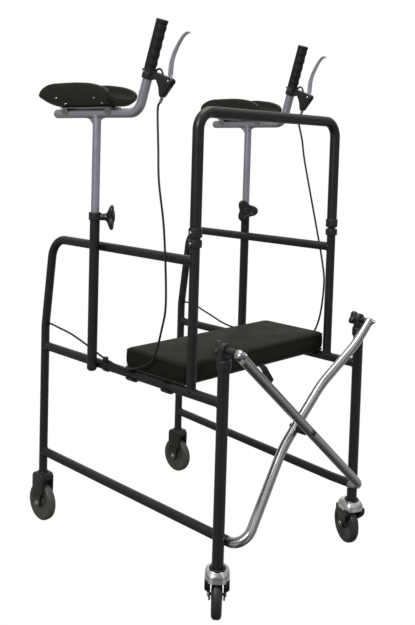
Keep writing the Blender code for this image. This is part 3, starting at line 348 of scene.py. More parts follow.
# Paths, outlines and places
def rounded_path(corners, bends, step=radians(5)):
    """A path with each inner corner turned into an arc of the given bend radius."""
    points = [Vector(corner) for corner in corners]
    path = [points[0]]
    for before, corner, after, bend in zip(points, points[1:], points[2:], bends):
        behind = (before - corner).normalized()
        ahead = (after - corner).normalized()
        turn = pi - behind.angle(ahead)
        if bend == 0 or turn < 0.01:
            path.append(corner)
            continue
        half = behind.angle(ahead) / 2
        centre = corner + (behind + ahead).normalized() * (bend / sin(half))
        first = corner + behind * (bend / tan(half)) - centre
        last = corner + ahead * (bend / tan(half)) - centre
        axis = first.cross(last).normalized()
        count = max(2, round(turn / step))
        for k in range(count + 1):
            path.append(centre + Matrix.Rotation(turn * k / count, 3, axis) @ first)
    path.append(points[-1])
    return path


def smooth(points, spacing):
    """A smooth curve through the points."""
    given = [Vector(p) for p in points]
    ends = [given[0] * 2 - given[1]] + given + [given[-1] * 2 - given[-2]]
    path = []
    for a, b, c, d in zip(ends, ends[1:], ends[2:], ends[3:]):
        count = max(1, round((c - b).length / spacing))
        for k in range(count):
            t = k / count
            pull = (c - a) * t + (a * 2 - b * 5 + c * 4 - d) * t * t
            pull += (b * 3 - a - c * 3 + d) * t ** 3
            path.append(b + pull * 0.5)
    path.append(given[-1])
    return path


def way_at(path, n):
    """The direction of an open path at its point n."""
    return (path[min(n + 1, len(path) - 1)] - path[max(n - 1, 0)]).normalized()


def circle(lead, other, radius, sides):
    """Spokes round a centre, in the plane of two square directions."""
    turns = [2 * pi * k / sides for k in range(sides)]
    return [(lead * cos(turn) + other * sin(turn)) * radius for turn in turns]


def arc(centre, radius, start, end, steps):
    made = []
    for k in range(steps + 1):
        turn = radians(start + (end - start) * k / steps)
        made.append((centre[0] + radius * cos(turn), centre[1] + radius * sin(turn)))
    return made


def rounded(profile, cut, steps=3):
    """A closed profile with each corner rounded off by about cut."""
    made = []
    count = len(profile)
    for n in range(count):
        before, here, after = (Vector(profile[(n + k) % count]) for k in (-1, 0, 1))
        a = here + (before - here).normalized() * min(cut, (before - here).length * 0.45)
        b = here + (after - here).normalized() * min(cut, (after - here).length * 0.45)
        for k in range(steps + 1):
            t = k / steps
            made.append(tuple(a * (1 - t) ** 2 + here * 2 * t * (1 - t) + b * t * t))
    return made


def band(inner, outer, low, high, cut):
    """The section of a ring, with its corners rounded off."""
    return rounded([(inner, low), (outer, low), (outer, high), (inner, high)], cut)


def mirrored_profile(profile):
    """A wheel's profile, given up to its middle plane, with its other half."""
    return profile + [(r, -h) for r, h in profile[::-1] if h]


def hexagon(radius):
    return [(radius * cos(pi / 3 * k), radius * sin(pi / 3 * k)) for k in range(6)]


def three_lobes(radius, count=72):
    """The outline of a knob with three lobes."""
    waist = 0.2
    made = []
    for k in range(count):
        turn = 2 * pi * k / count
        reach = radius * (1 - waist + waist * cos(3 * turn))
        made.append((reach * cos(turn), reach * sin(turn)))
    return made


def facing(spot, way):
    """The place of a turned shape that stands at a spot and points along way."""
    return Matrix.Translation(spot) @ Vector(way).to_track_quat("Z", "Y").to_matrix().to_4x4()


# Shapes
def skin(rings, round_again=False):
    """The surface over a row of rings, closed at its ends or round again to its start."""
    shape = bmesh.new()
    loops = [[shape.verts.new(p) for p in ring] for ring in rings]
    pairs = list(zip(loops, loops[1:]))
    if round_again:
        pairs.append((loops[-1], loops[0]))
    for low, high in pairs:
        for k in range(len(low)):
            m = (k + 1) % len(low)
            shape.faces.new((low[k], low[m], high[m], high[k]))
    if not round_again:
        shape.faces.new(loops[0])
        shape.faces.new(loops[-1])
    return shape


def rings_along(path, radius, sides):
    """Rings round a path, mitred where it turns."""
    ways = [(b - a).normalized() for a, b in zip(path, path[1:])]
    lead = Vector((1, 0, 0)) if abs(ways[0].x) < 0.9 else Vector((0, 1, 0))
    lead = (lead - ways[0] * lead.dot(ways[0])).normalized()
    spokes = circle(lead, ways[0].cross(lead), radius, sides)
    rings = [[path[0] + spoke for spoke in spokes]]
    for n in range(1, len(path)):
        before = ways[n - 1]
        after = ways[n] if n < len(ways) else before
        mitre = (before + after).normalized()
        offsets = [w - before * (w.dot(mitre) / before.dot(mitre)) for w in spokes]
        rings.append([path[n] + offset for offset in offsets])
        spokes = [offset - after * offset.dot(after) for offset in offsets]
    return rings


def dome(ring, way, radius):
    """Rings that close a tube's end with a flattened dome."""
    centre = sum(ring, Vector()) / len(ring)
    made = []
    for lift in (12, 24, 36, 48, 60, 72, 82):
        reach = way * radius * DOME * sin(radians(lift))
        made.append([centre + reach + (p - centre) * cos(radians(lift)) for p in ring])
    return made


def tube_shape(path, radius, wall=0.0, start="open", end="open", sides=SIDES):
    """A rod, or a tube where it has a wall, with open or round ends."""
    path = [Vector(p) for p in path]
    first = (path[0] - path[1]).normalized()
    last = (path[-1] - path[-2]).normalized()
    outer = rings_along(path, radius, sides)
    if start == "round":
        outer = dome(outer[0], first, radius)[::-1] + outer
    if end == "round":
        outer = outer + dome(outer[-1], last, radius)
    if wall == 0:
        return skin(outer)
    inside = list(path)
    if start != "open":
        inside[0] = path[0] - first * wall
    inner = rings_along(inside, radius - wall, sides)
    return skin(outer + inner[::-1], round_again=start == "open")


def turned(profile, place, sides=48):
    """A profile of radius and height, turned round the z axis of its place."""
    shape = bmesh.new()
    verts = [shape.verts.new((r, 0, h)) for r, h in profile]
    pairs = list(zip(verts, verts[1:]))
    if profile[0][0] > 0 or profile[-1][0] > 0:
        pairs.append((verts[-1], verts[0]))
    edges = [shape.edges.new(pair) for pair in pairs]
    bmesh.ops.spin(shape, geom=verts + edges, cent=(0, 0, 0), axis=(0, 0, 1), angle=2 * pi,
                   steps=sides, use_merge=True, use_duplicate=False)
    bmesh.ops.transform(shape, matrix=place, verts=shape.verts)
    return shape


def at_a_rim(edge):
    """Whether an edge lies between an end face and a side face of a prism."""
    counts = {len(face.verts) for face in edge.link_faces}
    return len(edge.link_faces) == 2 and len(counts) == 2


def prism_shape(outline, low, high, place=Matrix(), round_off=0.0):
    """An outline raised from low to high along the z axis of its place."""
    shape = bmesh.new()
    face = shape.faces.new([shape.verts.new((a, b, low)) for a, b in outline])
    grown = bmesh.ops.extrude_face_region(shape, geom=[face])
    lifted = [v for v in grown["geom"] if isinstance(v, bmesh.types.BMVert)]
    bmesh.ops.translate(shape, verts=lifted, vec=(0, 0, high - low))
    bmesh.ops.recalc_face_normals(shape, faces=shape.faces)
    if round_off:
        rims = [edge for edge in shape.edges if at_a_rim(edge)]
        bmesh.ops.bevel(shape, geom=rims, offset=round_off, segments=3, affect="EDGES", profile=0.5)
    bmesh.ops.transform(shape, matrix=place, verts=shape.verts)
    return shape


def box_shape(low, high, round_off=0.0, place=Matrix(), steps=3):
    """A box between two corners, with its edges rounded off."""
    shape = bmesh.new()
    bmesh.ops.create_cube(shape, size=1.0)
    low = Vector(low)
    size = Vector(high) - low
    for vert in shape.verts:
        vert.co = low + Vector([(c + 0.5) * s for c, s in zip(vert.co, size)])
    if round_off:
        bmesh.ops.bevel(shape, geom=shape.edges, offset=round_off, segments=steps, affect="EDGES",
                        profile=0.5)
    bmesh.ops.transform(shape, matrix=place, verts=shape.verts)
    return shape


def weld_shape(base, branch, main, r, big):
    """The bead where a tube of radius r meets the side of a tube of radius big."""
    branch, main = Vector(branch).normalized(), Vector(main).normalized()
    side_way = main.cross(branch).normalized()
    square = (branch - main * branch.dot(main)).normalized()
    lean = branch.dot(main) / branch.dot(square)
    spots = []
    count = 64
    for k in range(count):
        t = 2 * pi * k / count
        off = r * sin(t)
        rise = sqrt(max(big * big - off * off, 0))
        along = r * cos(t) / max(branch.dot(square), 0.3) + rise * lean
        spots.append(Vector(base) + main * along + side_way * off + square * rise)
    rings = []
    for n in range(count):
        way = (spots[(n + 1) % count] - spots[n - 1]).normalized()
        lead = way.cross(square).normalized()
        fat = BEAD * (1 + 0.16 * sin(n * pi / 2))
        rings.append([spots[n] + spoke for spoke in circle(lead, way.cross(lead), fat, 8)])
    return skin(rings, round_again=True)


def seam_shape(start, length, count, radius):
    """A short straight weld along y."""
    spots = [Vector(start) + Vector((0, length * k / count, 0)) for k in range(count + 1)]
    return tube_shape(spots, radius, 0, "round", "round", 12)


def screw_head(name, centre, way, radius, body, cross=True):
    """A small domed screw head, with a cross recess or without."""
    place = facing(centre, way)
    profile = [(0, 0), (radius, 0), (radius, radius * 0.25), (radius * 0.85, radius * 0.5),
               (radius * 0.5, radius * 0.68), (0, radius * 0.72)]
    made = solid(name, turned(profile, place, 24), ZINC, body)
    if cross:
        long, thin = radius * 0.6, radius * 0.11
        for a, b in ((long, thin), (thin, long)):
            carve(made, box_shape((-a, -b, radius * 0.35), (a, b, radius), place=place))


class Side:
    """One side of the walker, where s is 1 on the right and -1 on the left."""

    def __init__(self, hand, s):
        self.hand, self.s = hand, s
        self.x = s * HALF_WIDTH
        self.post = Vector((s * POST_X, POST_Y, 0))
        self.rest = Matrix.Translation(self.post + Vector((0, 0, BAR_Z))) @ Matrix.Rotation(s * TOE, 4, "Z")

    def at(self, y, z):
        """A point over or under the forearm bar."""
        return self.rest @ Vector((0, y, z))

    def add(self, name, shape, look, body, *nodes, slot=None):
        """Add a piece whose name, body and nodes end with the side's name."""
        end = "_" + self.hand
        return solid(name + end, shape, look, body + end, *[node + end for node in nodes], slot=slot)


# Side frame
def frame_tubes(side):
    """The rear leg and top rail in one bent tube, and the other tubes of the frame."""
    x, s = side.x, side.s
    foot_z, lower_bend_z, upper_bend_y = 0.118, 0.527, 0.0311
    path = rounded_path([(x, 0, foot_z), (x, 0, lower_bend_z), (x, upper_bend_y, TOP_RAIL_Z),
                         (x, UPRIGHT_Y - JOIN, TOP_RAIL_Z)], [0.12, 0.057])
    leg = side.add("rear_leg_tube", tube_shape(path, TUBE_R, WALL), PAINT, "frame", "rear_leg")
    carve(leg, tube_shape([(x, 0.002, CABLE_HOLE_Z), (x, 0.022, CABLE_HOLE_Z)], 0.006))
    path = [(x, JOIN, MIDDLE_RAIL_Z), (x, FRONT_LEG_Y - JOIN, MIDDLE_RAIL_Z)]
    side.add("middle_tube", tube_shape(path, TUBE_R), PAINT, "frame", "middle_rail")
    path = rounded_path([(x, 0.005, RAIL_START_Z), (s * BRACE_X, 0.6, BOTTOM_RAIL_Z),
                         (s * BRACE_X, 0.655, BOTTOM_RAIL_Z)], [0.25])
    side.add("bottom_tube", tube_shape(path, TUBE_R, WALL), PAINT, "frame", "bottom_rail")
    front_foot_z = 0.122
    path = [(x, FRONT_LEG_Y, front_foot_z), (x, FRONT_LEG_Y, LEG_TOP)]
    side.add("front_tube", tube_shape(path, LEG_R, WALL), PAINT, "frame", "front_leg")
    # The right upright ends higher, and holds the backrest bar
    high = UPRIGHT_TOP + (0.052 if s > 0 else 0)
    path = [(x, UPRIGHT_Y, MIDDLE_RAIL_Z + JOIN), (x, UPRIGHT_Y, high)]
    side.add("upright_tube", tube_shape(path, TUBE_R, WALL), PAINT, "frame", "upright")
    post_low = 0.459 + POST_R * DOME
    path = [side.post + Vector((0, 0, post_low)), side.post + Vector((0, 0, POST_TOP))]
    side.add("post_tube", tube_shape(path, POST_R, WALL, start="round"), PAINT, "frame", "forearm_post")


def frame_welds(side):
    """Beads round the tubes' ends, and seams where tubes lie side by side."""
    x, s = side.x, side.s
    up, ahead, behind = (0, 0, 1), (0, 1, 0), (0, -1, 0)
    for tag, base, way, main, big in (("a", (x, 0, MIDDLE_RAIL_Z), ahead, up, TUBE_R),
                                      ("b", (x, FRONT_LEG_Y, MIDDLE_RAIL_Z), behind, up, LEG_R),
                                      ("c", (x, UPRIGHT_Y, TOP_RAIL_Z), behind, up, TUBE_R),
                                      ("d", (x, UPRIGHT_Y, MIDDLE_RAIL_Z), up, ahead, TUBE_R),
                                      ("e", (x, 0, RAIL_START_Z), (-s * 0.04, 1, -0.027), up, TUBE_R)):
        side.add("weld_" + tag, weld_shape(base, way, main, TUBE_R, big), PAINT, "frame")
    # Above and below each rail that the post lies on, and over the bottom rail on the front leg
    for tag, rail_z in (("f", TOP_RAIL_Z), ("g", MIDDLE_RAIL_Z)):
        for name, z in (("weld_" + tag, rail_z + 0.0045), ("weld_" + tag + "low", rail_z - 0.0045)):
            seam = seam_shape((x + s * 0.0113, POST_Y - 0.0095, z), 0.019, 4, 0.0028)
            side.add(name, seam, PAINT, "frame")
    start = (x - s * LEG_R, FRONT_LEG_Y - 0.0105, BOTTOM_RAIL_Z + 0.0085)
    side.add("weld_h", seam_shape(start, 0.021, 2, 0.0026), PAINT, "frame")


def leg_cap(side):
    """The moulded cap on the front leg, and the lug on it that the knob's screw goes through."""
    top, lug_r, lug_half = LEG_TOP, 0.0145, 0.007
    profile = [(0, top + 0.0045), (LEG_R + 0.0012, top + 0.0045), (LEG_R + 0.0026, top + 0.0036),
               (LEG_R + 0.0033, top + 0.0018), (LEG_R + 0.0033, top - 0.0125),
               (LEG_R + 0.003, top - 0.015), (LEG_R + 0.0022, top - 0.0172),
               (LEG_R + 0.001, top - 0.0175), (LEG_R + FIT, top - 0.0172),
               (LEG_R + FIT, top + 0.0005), (0, top + 0.0005)]
    leg = Matrix.Translation((side.x, FRONT_LEG_Y, 0))
    side.add("cap", turned(profile, leg), PLASTIC, "frame", "leg_cap")
    outline = [(-lug_r, top + 0.001), (lug_r, top + 0.001)] + arc((0, KNOB_Z), lug_r, 0, 180, 24)
    lug = prism_shape(outline, -FRONT_LEG_Y - lug_half, -FRONT_LEG_Y + lug_half,
                      Matrix.Translation((side.x, 0, 0)) @ UPRIGHT, 0.0012)
    side.add("lug", lug, PLASTIC, "frame")


def leg_knob(side):
    """The three-lobed knob behind the lug, its screw and sleeve, and the nut in front of the brace."""
    near = BRACE_Y[side.hand] - BRACE_R
    far = near + 2 * BRACE_R
    face = FRONT_LEG_Y + 0.0073
    along = Matrix.Translation((side.x, 0, KNOB_Z)) @ ALONG_Y
    head = prism_shape(three_lobes(0.018), FRONT_LEG_Y - 0.0215, FRONT_LEG_Y - 0.008, along, 0.003)
    side.add("leg_knob_head", head, PLASTIC, "leg_knob", "leg_knob")
    hub = [(0, face - 0.031), (0.0065, face - 0.031), (0.008, face - 0.0295), (0.0085, face - 0.02),
           (0, face - 0.02)]
    side.add("leg_knob_hub", turned(hub, along, 32), PLASTIC, "leg_knob")
    screw = [(0, face - 0.02), (0.003, face - 0.02), (0.003, far + 0.0075), (0.0024, far + 0.0085),
             (0, far + 0.0085)]
    side.add("leg_screw", turned(screw, along, 24), ZINC, "leg_knob")
    sleeve = [(0.0033, face), (0.0064, face), (0.007, face + 0.0006), (0.007, near - 0.0009),
              (0.0064, near - GAP), (0.0033, near - GAP)]
    side.add("leg_sleeve", turned(sleeve, along, 32), PLASTIC, "leg_knob")
    nut = prism_shape(hexagon(0.0062), far + GAP, far + 0.0045, along, 0.0005)
    side.add("leg_nut", nut, ZINC, "leg_knob")


def upright_collar(side):
    """The clamp collar at the upright's top, with its screw on the outer side."""
    ring = band(TUBE_R + FIT, COLLAR_R, UPRIGHT_TOP - 0.0165, UPRIGHT_TOP, 0.0016)
    ring = turned(ring, Matrix.Translation((side.x, UPRIGHT_Y, 0)))
    side.add("upright_ring", ring, PLASTIC, "frame", "upright_collar")
    screw_head("upright_screw_" + side.hand, (side.x + side.s * 0.0148, UPRIGHT_Y, UPRIGHT_TOP - 0.008),
               (side.s, 0, 0), SCREW_R, "frame_" + side.hand)


def height_knob(side):
    """The collar with its boss on the post, and the knob with an open bell behind its lobes."""
    inner, low, high = HEIGHT_R + FIT, POST_TOP - 0.003, POST_TOP + 0.0155
    collar = rounded([(inner, POST_TOP + GAP), (inner, high), (COLLAR_R, high), (COLLAR_R, low),
                      (POST_R + FIT, low), (POST_R + FIT, POST_TOP + GAP)], 0.0014)
    side.add("post_ring", turned(collar, Matrix.Translation(side.post)), PLASTIC, "frame", "post_collar")
    turn = facing(side.post + Vector((0, 0, HEIGHT_KNOB_Z)), (-side.s, 1, 0))
    boss = band(0.0037, 0.0085, 0.0125, 0.024, 0.001)
    side.add("post_boss", turned(boss, turn, 32), PLASTIC, "frame")
    bell = ((0.0225, 0.24), (0.026, 0.27), (0.029, 0.38), (0.032, 0.58), (0.035, 0.8),
            (0.0375, 0.94), (0.04, 1.0), (0.043, 1.0), (0.0447, 0.95), (0.0455, 0.86),
            (0.0445, 0.6), (0.0435, 0.4))
    lobes = three_lobes(HEIGHT_KNOB_R, 96)
    rings = [[turn @ Vector((a * scale, b * scale, depth)) for a, b in lobes] for depth, scale in bell]
    side.add("height_knob_head", skin(rings), PLASTIC, "height_knob", "height_knob")
    hub = [(0, 0.0225), (0.0085, 0.0225), (0.0095, 0.03), (0.01, 0.045), (0.009, 0.0474),
           (0.007, 0.0478), (0.006, 0.0466), (0, 0.0466)]
    side.add("height_knob_hub", turned(hub, turn, 40), PLASTIC, "height_knob")
    screw = [(0, HEIGHT_R + GAP), (0.003, HEIGHT_R + GAP), (0.003, 0.023), (0, 0.023)]
    side.add("height_screw", turned(screw, turn, 20), PAINT, "height_knob", slot="chrome")


# Forearm rest
def rest_tubes(side):
    """The height tube, the bar bent up into the handle, and the weld and gussets between them."""
    inner_end_z = 0.56
    path = [side.post + Vector((0, 0, inner_end_z)), side.post + Vector((0, 0, BAR_Z - JOIN))]
    side.add("height_pipe", tube_shape(path, HEIGHT_R, WALL), SILVER, "forearm", "height_tube")
    tip = side.rest @ (FOOT + HANDLE * (GRIP_LOW + GRIP_LENGTH - 0.006))
    path = rounded_path([side.at(BAR_R * DOME - BAR_BACK, 0), side.at(HANDLE_Y, 0), tip], [0.036])
    bar = tube_shape(path, BAR_R, WALL, start="round")
    side.add("handle_pipe", bar, SILVER, "forearm", "forearm_bar")
    main = side.rest.to_3x3() @ Vector((0, 1, 0))
    weld = weld_shape(side.at(0, 0), (0, 0, -1), main, HEIGHT_R, BAR_R)
    side.add("weld_t", weld, SILVER, "forearm")
    for tag, way, long, tall in (("rear", -1, 0.028, 0.028), ("front", 1, 0.017, 0.012)):
        near, far = way * (HEIGHT_R - 0.0005), way * (HEIGHT_R + GAP + long)
        low = -BAR_R - tall
        outline = [(near, -BAR_R + 0.0012), (far, -BAR_R + 0.0012), (far, -BAR_R - 0.0006)]
        for k in range(1, 16):
            t = radians(6 * k)
            outline.append((far - way * long * sin(t), low + tall * cos(t)))
        outline.append((near, low - 0.001))
        gusset = prism_shape(outline, -0.0022, 0.0022, side.rest @ ALONG_X, 0.0006)
        side.add("gusset_" + tag, gusset, SILVER, "forearm")


def pad_plate(side):
    """The plate under the pad, and two saddles that hold it on the bar."""
    plate = box_shape((-0.02, -0.112, BAR_R + 0.0006), (0.02, 0.062, BAR_R + 0.0036), 0.001, side.rest)
    side.add("plate", plate, ZINC, "forearm", "pad_plate", slot="black_plastic")
    for tag, y in (("rear", -0.1), ("front", 0.05)):
        block = box_shape((-0.016, y - 0.008, -0.002), (0.016, y + 0.008, BAR_R + 0.0012), 0.0012, side.rest)
        saddle = side.add("saddle_" + tag, block, ZINC, "forearm", slot="black_plastic")
        carve(saddle, tube_shape([side.at(y - 0.02, 0), side.at(y + 0.02, 0)], BAR_R + SNUG))


def grip(side):
    """A rubber sleeve with finger ridges in front and fine ribs at its sides."""
    levels = [(0.0, 0.0028), (0.0006, 0.0035), (0.003, 0.0035), (0.004, 0.0022), (0.005, 0.0)]
    levels += [(0.006 + (GRIP_LENGTH - 0.01) * k / 60, 0.0) for k in range(61)]
    levels += [(GRIP_LENGTH - 0.0025, 0.0003), (GRIP_LENGTH - 0.0008, 0.0),
               (GRIP_LENGTH - 0.0002, -0.0006), (GRIP_LENGTH, -0.0016)]
    rings = []
    for lift, grow in levels:
        wave = -1
        if 0.01 < lift < GRIP_LENGTH - 0.008:
            wave = cos(2 * pi * RIDGES * (lift - 0.01) / (GRIP_LENGTH - 0.018))
        ribbed = 0.006 < lift < GRIP_LENGTH - 0.006
        centre = FOOT + HANDLE * (GRIP_LOW + lift)
        ring = []
        for k in range(SIDES):
            turn = 2 * pi * k / SIDES
            fold = -0.001 * wave * max(0.0, cos(turn)) ** 1.5
            ribs = 0.00025 * sin(turn * 20) if ribbed and abs(cos(turn)) < 0.85 else 0
            spoke = AHEAD * cos(turn) + ACROSS * sin(turn)
            ring.append(side.rest @ (centre + spoke * (GRIP_D / 2 + grow + fold + ribs)))
        rings.append(ring)
    side.add("grip_sleeve", skin(rings), RUBBER, "forearm", "grip")


def brake_bracket(side):
    """The clamp band on the handle, and the housing that holds the lever's pivot and the cable."""
    axis = side.rest @ Matrix.Translation(FOOT) @ Matrix.Rotation(-LEAN, 4, "X")
    ring = band(BAR_R + SNUG, BAR_R + 0.0035, BAND_LOW, BAND_HIGH, 0.0009)
    side.add("brake_band", turned(ring, axis), PLASTIC, "forearm", "brake_bracket")
    near = BAR_R + 0.0008
    outline = []
    for away, along in ((near, -0.0055), (near, 0.005), (near + 0.007, 0.0055), (near + 0.009, 0.014)):
        outline.append((MIDDLE + AHEAD * away + HANDLE * along).yz)
    for dy, dz in ((0.029, 0.006), (0.0413, 0.0015), (0.0745, -0.0095), (0.0785, -0.0165),
                   (0.048, -0.05), (0.0405, -0.049), (0.037, -0.026), (0.029, -0.01),
                   (0.019, -0.0095)):
        outline.append((MIDDLE.y + dy, MIDDLE.z + dz))
    house = prism_shape(rounded(outline, 0.004, 4), -0.0075, 0.0075, side.rest @ ALONG_X, 0.0014)
    house = side.add("brake_house", house, PLASTIC, "forearm")
    loop = smooth([MIDDLE + Vector((0, dy, dz)) for dy, dz in
                   ((0.022, 0.004), (0.026, 0.011), (0.033, 0.0138), (0.04, 0.011),
                    (0.045, 0.0015))], 0.0015)
    loop = tube_shape([side.rest @ point for point in loop], 0.0024, sides=16)
    side.add("brake_loop", loop, PLASTIC, "forearm")
    # The slot that the lever's tongue turns in
    recess = box_shape((-0.0029, PIVOT.y - 0.01, PIVOT.z - 0.011), (0.0029, PIVOT.y + 0.03, PIVOT.z + 0.03),
                       place=side.rest)
    carve(house, recess)
    ferrule = rounded([(0.004, -0.003), (0.004, 0.004), (0.0033, 0.005), (0.0035, 0.013),
                       (0.001, 0.013), (0.001, -0.003)], 0.0004)
    side.add("ferrule", turned(ferrule, side.rest @ facing(FERRULE, CABLE_WAY), 28), ZINC, "forearm")
    for tag, way in (("in", -ACROSS), ("out", ACROSS)):
        screw_head("lever_pin_%s_%s" % (tag, side.hand), side.rest @ (PIVOT + way * 0.007),
                   side.rest.to_3x3() @ way, 0.0034, "forearm_" + side.hand, cross=False)


def brake_lever(side):
    """A folded strip, wide at the pivot and narrow at its flared tip, and the tongue in its bracket."""
    given = ((0.0008, 0.0125), (0.0018, 0.024), (0.0035, 0.04), (0.009, 0.057), (0.017, 0.072),
             (0.027, 0.087), (0.037, 0.098), (0.0445, 0.1025), (0.052, 0.104))
    section = ((-1, 0.9), (-0.93, 1.0), (-0.8, 1.0), (-0.74, 0.85), (-0.74, -0.35), (-0.66, -0.45),
               (0.66, -0.45), (0.74, -0.35), (0.74, 0.85), (0.8, 1.0), (0.93, 1.0), (1, 0.9),
               (1, -0.75), (0.86, -1), (-0.86, -1), (-1, -0.75))
    spots = smooth([(0, y, z) for y, z in given], 0.004)
    rings = []
    for n, spot in enumerate(spots):
        t = n / (len(spots) - 1)
        way = way_at(spots, n)
        flat = Vector((0, way.z, -way.y))
        wide = 0.0062 - 0.0028 * t + 0.0012 * max(0.0, 5 * t - 4) if n else 0.0045
        lip = 0.003 - 0.0012 * t
        centre = PIVOT + spot
        rings.append([side.rest @ (centre + ACROSS * (u * wide) - flat * (v * lip)) for u, v in section])
    side.add("lever_blade", skin(rings), LEVER, "lever", "brake_lever")
    tongue_r = 0.0065
    tongue = [(-tongue_r, -0.002)] + arc((0, 0), tongue_r, 195, 345, 12)
    tongue += [(tongue_r, 0.002), (0.0045, 0.015), (-0.0025, 0.015)]
    tongue = [(PIVOT.y + a, PIVOT.z + b) for a, b in tongue]
    tongue = prism_shape(tongue, -0.0025, 0.0025, side.rest @ ALONG_X, 0.0005)
    side.add("lever_tongue", tongue, LEVER, "lever")


# Cable
def cable_clip(side):
    """The clip that ties the brake cable to the middle rail, just ahead of the post."""
    clip_y, tie_x, half = 0.264, side.x + side.s * 0.0065, 0.0055
    low, high = MIDDLE_RAIL_Z + 0.0115, MIDDLE_RAIL_Z + 0.0235
    ring = band(TUBE_R + SNUG, TUBE_R + 0.0028, -0.0065, 0.0065, 0.001)
    ring = turned(ring, Matrix.Translation((side.x, clip_y, MIDDLE_RAIL_Z)) @ ALONG_Y)
    side.add("cable_clip", ring, PLASTIC, "frame")
    tie = box_shape((tie_x - half, clip_y - 0.006, low), (tie_x + half, clip_y + 0.006, high), 0.0025)
    side.add("cable_tie", tie, PLASTIC, "frame")


def brake_cable(side):
    """The cable from the lever down past the seat, back along the middle rail and into the rear leg."""
    routes = {
        "right": [(0.262, 0.4407, 1.0014), (0.268, 0.4524, 0.9288), (0.269, 0.4742, 0.8222),
                  (0.2695, 0.4865, 0.672), (0.2685, 0.4753, 0.6071), (0.267, 0.4464, 0.53),
                  (0.27, 0.406, 0.504), (0.2705, 0.372, 0.4925), (0.2697, 0.345, 0.4893),
                  (0.262, 0.3, 0.489), (0.2545, 0.25, 0.4935), (0.2515, 0.19, 0.508),
                  (0.25, 0.12, 0.524)],
        "left": [(-0.266, 0.4347, 1.0387), (-0.268, 0.4448, 0.9806), (-0.269, 0.4852, 0.8282),
                 (-0.2695, 0.512, 0.7249), (-0.2695, 0.5219, 0.6583), (-0.269, 0.5104, 0.5621),
                 (-0.268, 0.48, 0.509), (-0.266, 0.42, 0.492), (-0.262, 0.33, 0.4905),
                 (-0.254, 0.2028, 0.4925), (-0.251, 0.1176, 0.5154)]}
    x, hole = side.x, 0.536
    begin = [side.rest @ (FERRULE + CABLE_WAY * reach) for reach in (0.012, 0.03)]
    enter = [(x, 0.06, hole - 0.004), (x, 0.0225, hole), (x, 0.008, hole - 0.0045), (x, 0.001, hole - 0.018),
             (x, 0.0, hole - 0.04)]
    path = smooth(begin + routes[side.hand] + enter, 0.006)
    path += [Vector((x, 0, 0.3)), Vector((x, 0, 0.1135))]
    side.add("cable", tube_shape(path, CABLE_R, sides=16), CABLE, "frame", "brake_cable")
    ring = band(0.003, 0.0066, -0.001, 0.0012, 0.0008)
    ring = turned(ring, Matrix.Translation((x, 0.011, CABLE_HOLE_Z + 0.0005)) @ ALONG_Y, 32)
    side.add("grommet", ring, RUBBER, "frame", slot="black_plastic")


# Rear wheel
def rear_housing(side):
    """The moulded fork under the rear leg, with a strap of its own down to each end of the axle."""
    spot = Matrix.Translation((side.x, 0, 0))
    top, half = 0.13, 0.0235
    outline = [(-0.0225, 0.075), (0.0225, 0.075), (half, 0.1), (half, top - 0.008), (0.0165, top),
               (-0.0165, top), (-half, top - 0.008), (-half, 0.1)]
    house = prism_shape(rounded(outline, 0.003, 4), -0.019, 0.019, spot @ ALONG_X, 0.003)
    house = side.add("housing", house, PLASTIC, "frame", "rear_housing")
    strap = [(0.0125, 0.09)] + arc((0, WHEEL_R), 0.0115, 0, -180, 24) + [(-0.0125, 0.09)]
    carve(house, prism_shape(strap, -FORK_HALF - 0.0045, FORK_HALF + 0.0045, spot @ ALONG_X), "UNION")
    fork = [(-0.04, 0.0), (0.04, 0.0), (0.04, 0.1135), (-0.04, 0.1135)]
    carve(house, prism_shape(fork, -FORK_HALF, FORK_HALF, spot @ ALONG_X))
    boot = rounded([(TUBE_R + SNUG, 0.126), (0.0145, 0.126), (0.0135, 0.1335), (TUBE_R + SNUG, 0.1335)],
                   0.0012)
    side.add("leg_boot", turned(boot, spot), PLASTIC, "frame")


def axle_ends(side):
    """A washer, a nut and the bolt's end on each side of the rear fork."""
    for way in (-1, 1):
        tag = "in" if way * side.s < 0 else "out"
        turn = facing((side.x + way * (FORK_HALF + 0.0043), 0, WHEEL_R), (way, 0, 0))
        nut = prism_shape(hexagon(0.0065), 0, 0.0042, turn, 0.0006)
        side.add("axle_nut_" + tag, nut, ZINC, "frame")
        washer = [(0, -0.0004), (0.0078, -0.0004), (0.0078, 0.0007), (0, 0.0007)]
        side.add("axle_washer_" + tag, turned(washer, turn, 32), ZINC, "frame")
        end = [(0, 0.0035), (0.0033, 0.0035), (0.0033, 0.0052), (0.0026, 0.006), (0, 0.006)]
        side.add("axle_end_" + tag, turned(end, turn, 20), ZINC, "frame")


def brake_shoe(side):
    """A rubber block over the tyre, hollowed to follow it."""
    x = side.x
    shoe = box_shape((x - 0.009, -0.016, 0.098), (x + 0.009, 0.016, 0.1129), 0.001)
    shoe = side.add("shoe_block", shoe, RUBBER, "shoe", "brake_shoe")
    carve(shoe, tube_shape([(x - 0.03, 0, WHEEL_R), (x + 0.03, 0, WHEEL_R)], WHEEL_R + 0.0036, sides=96))


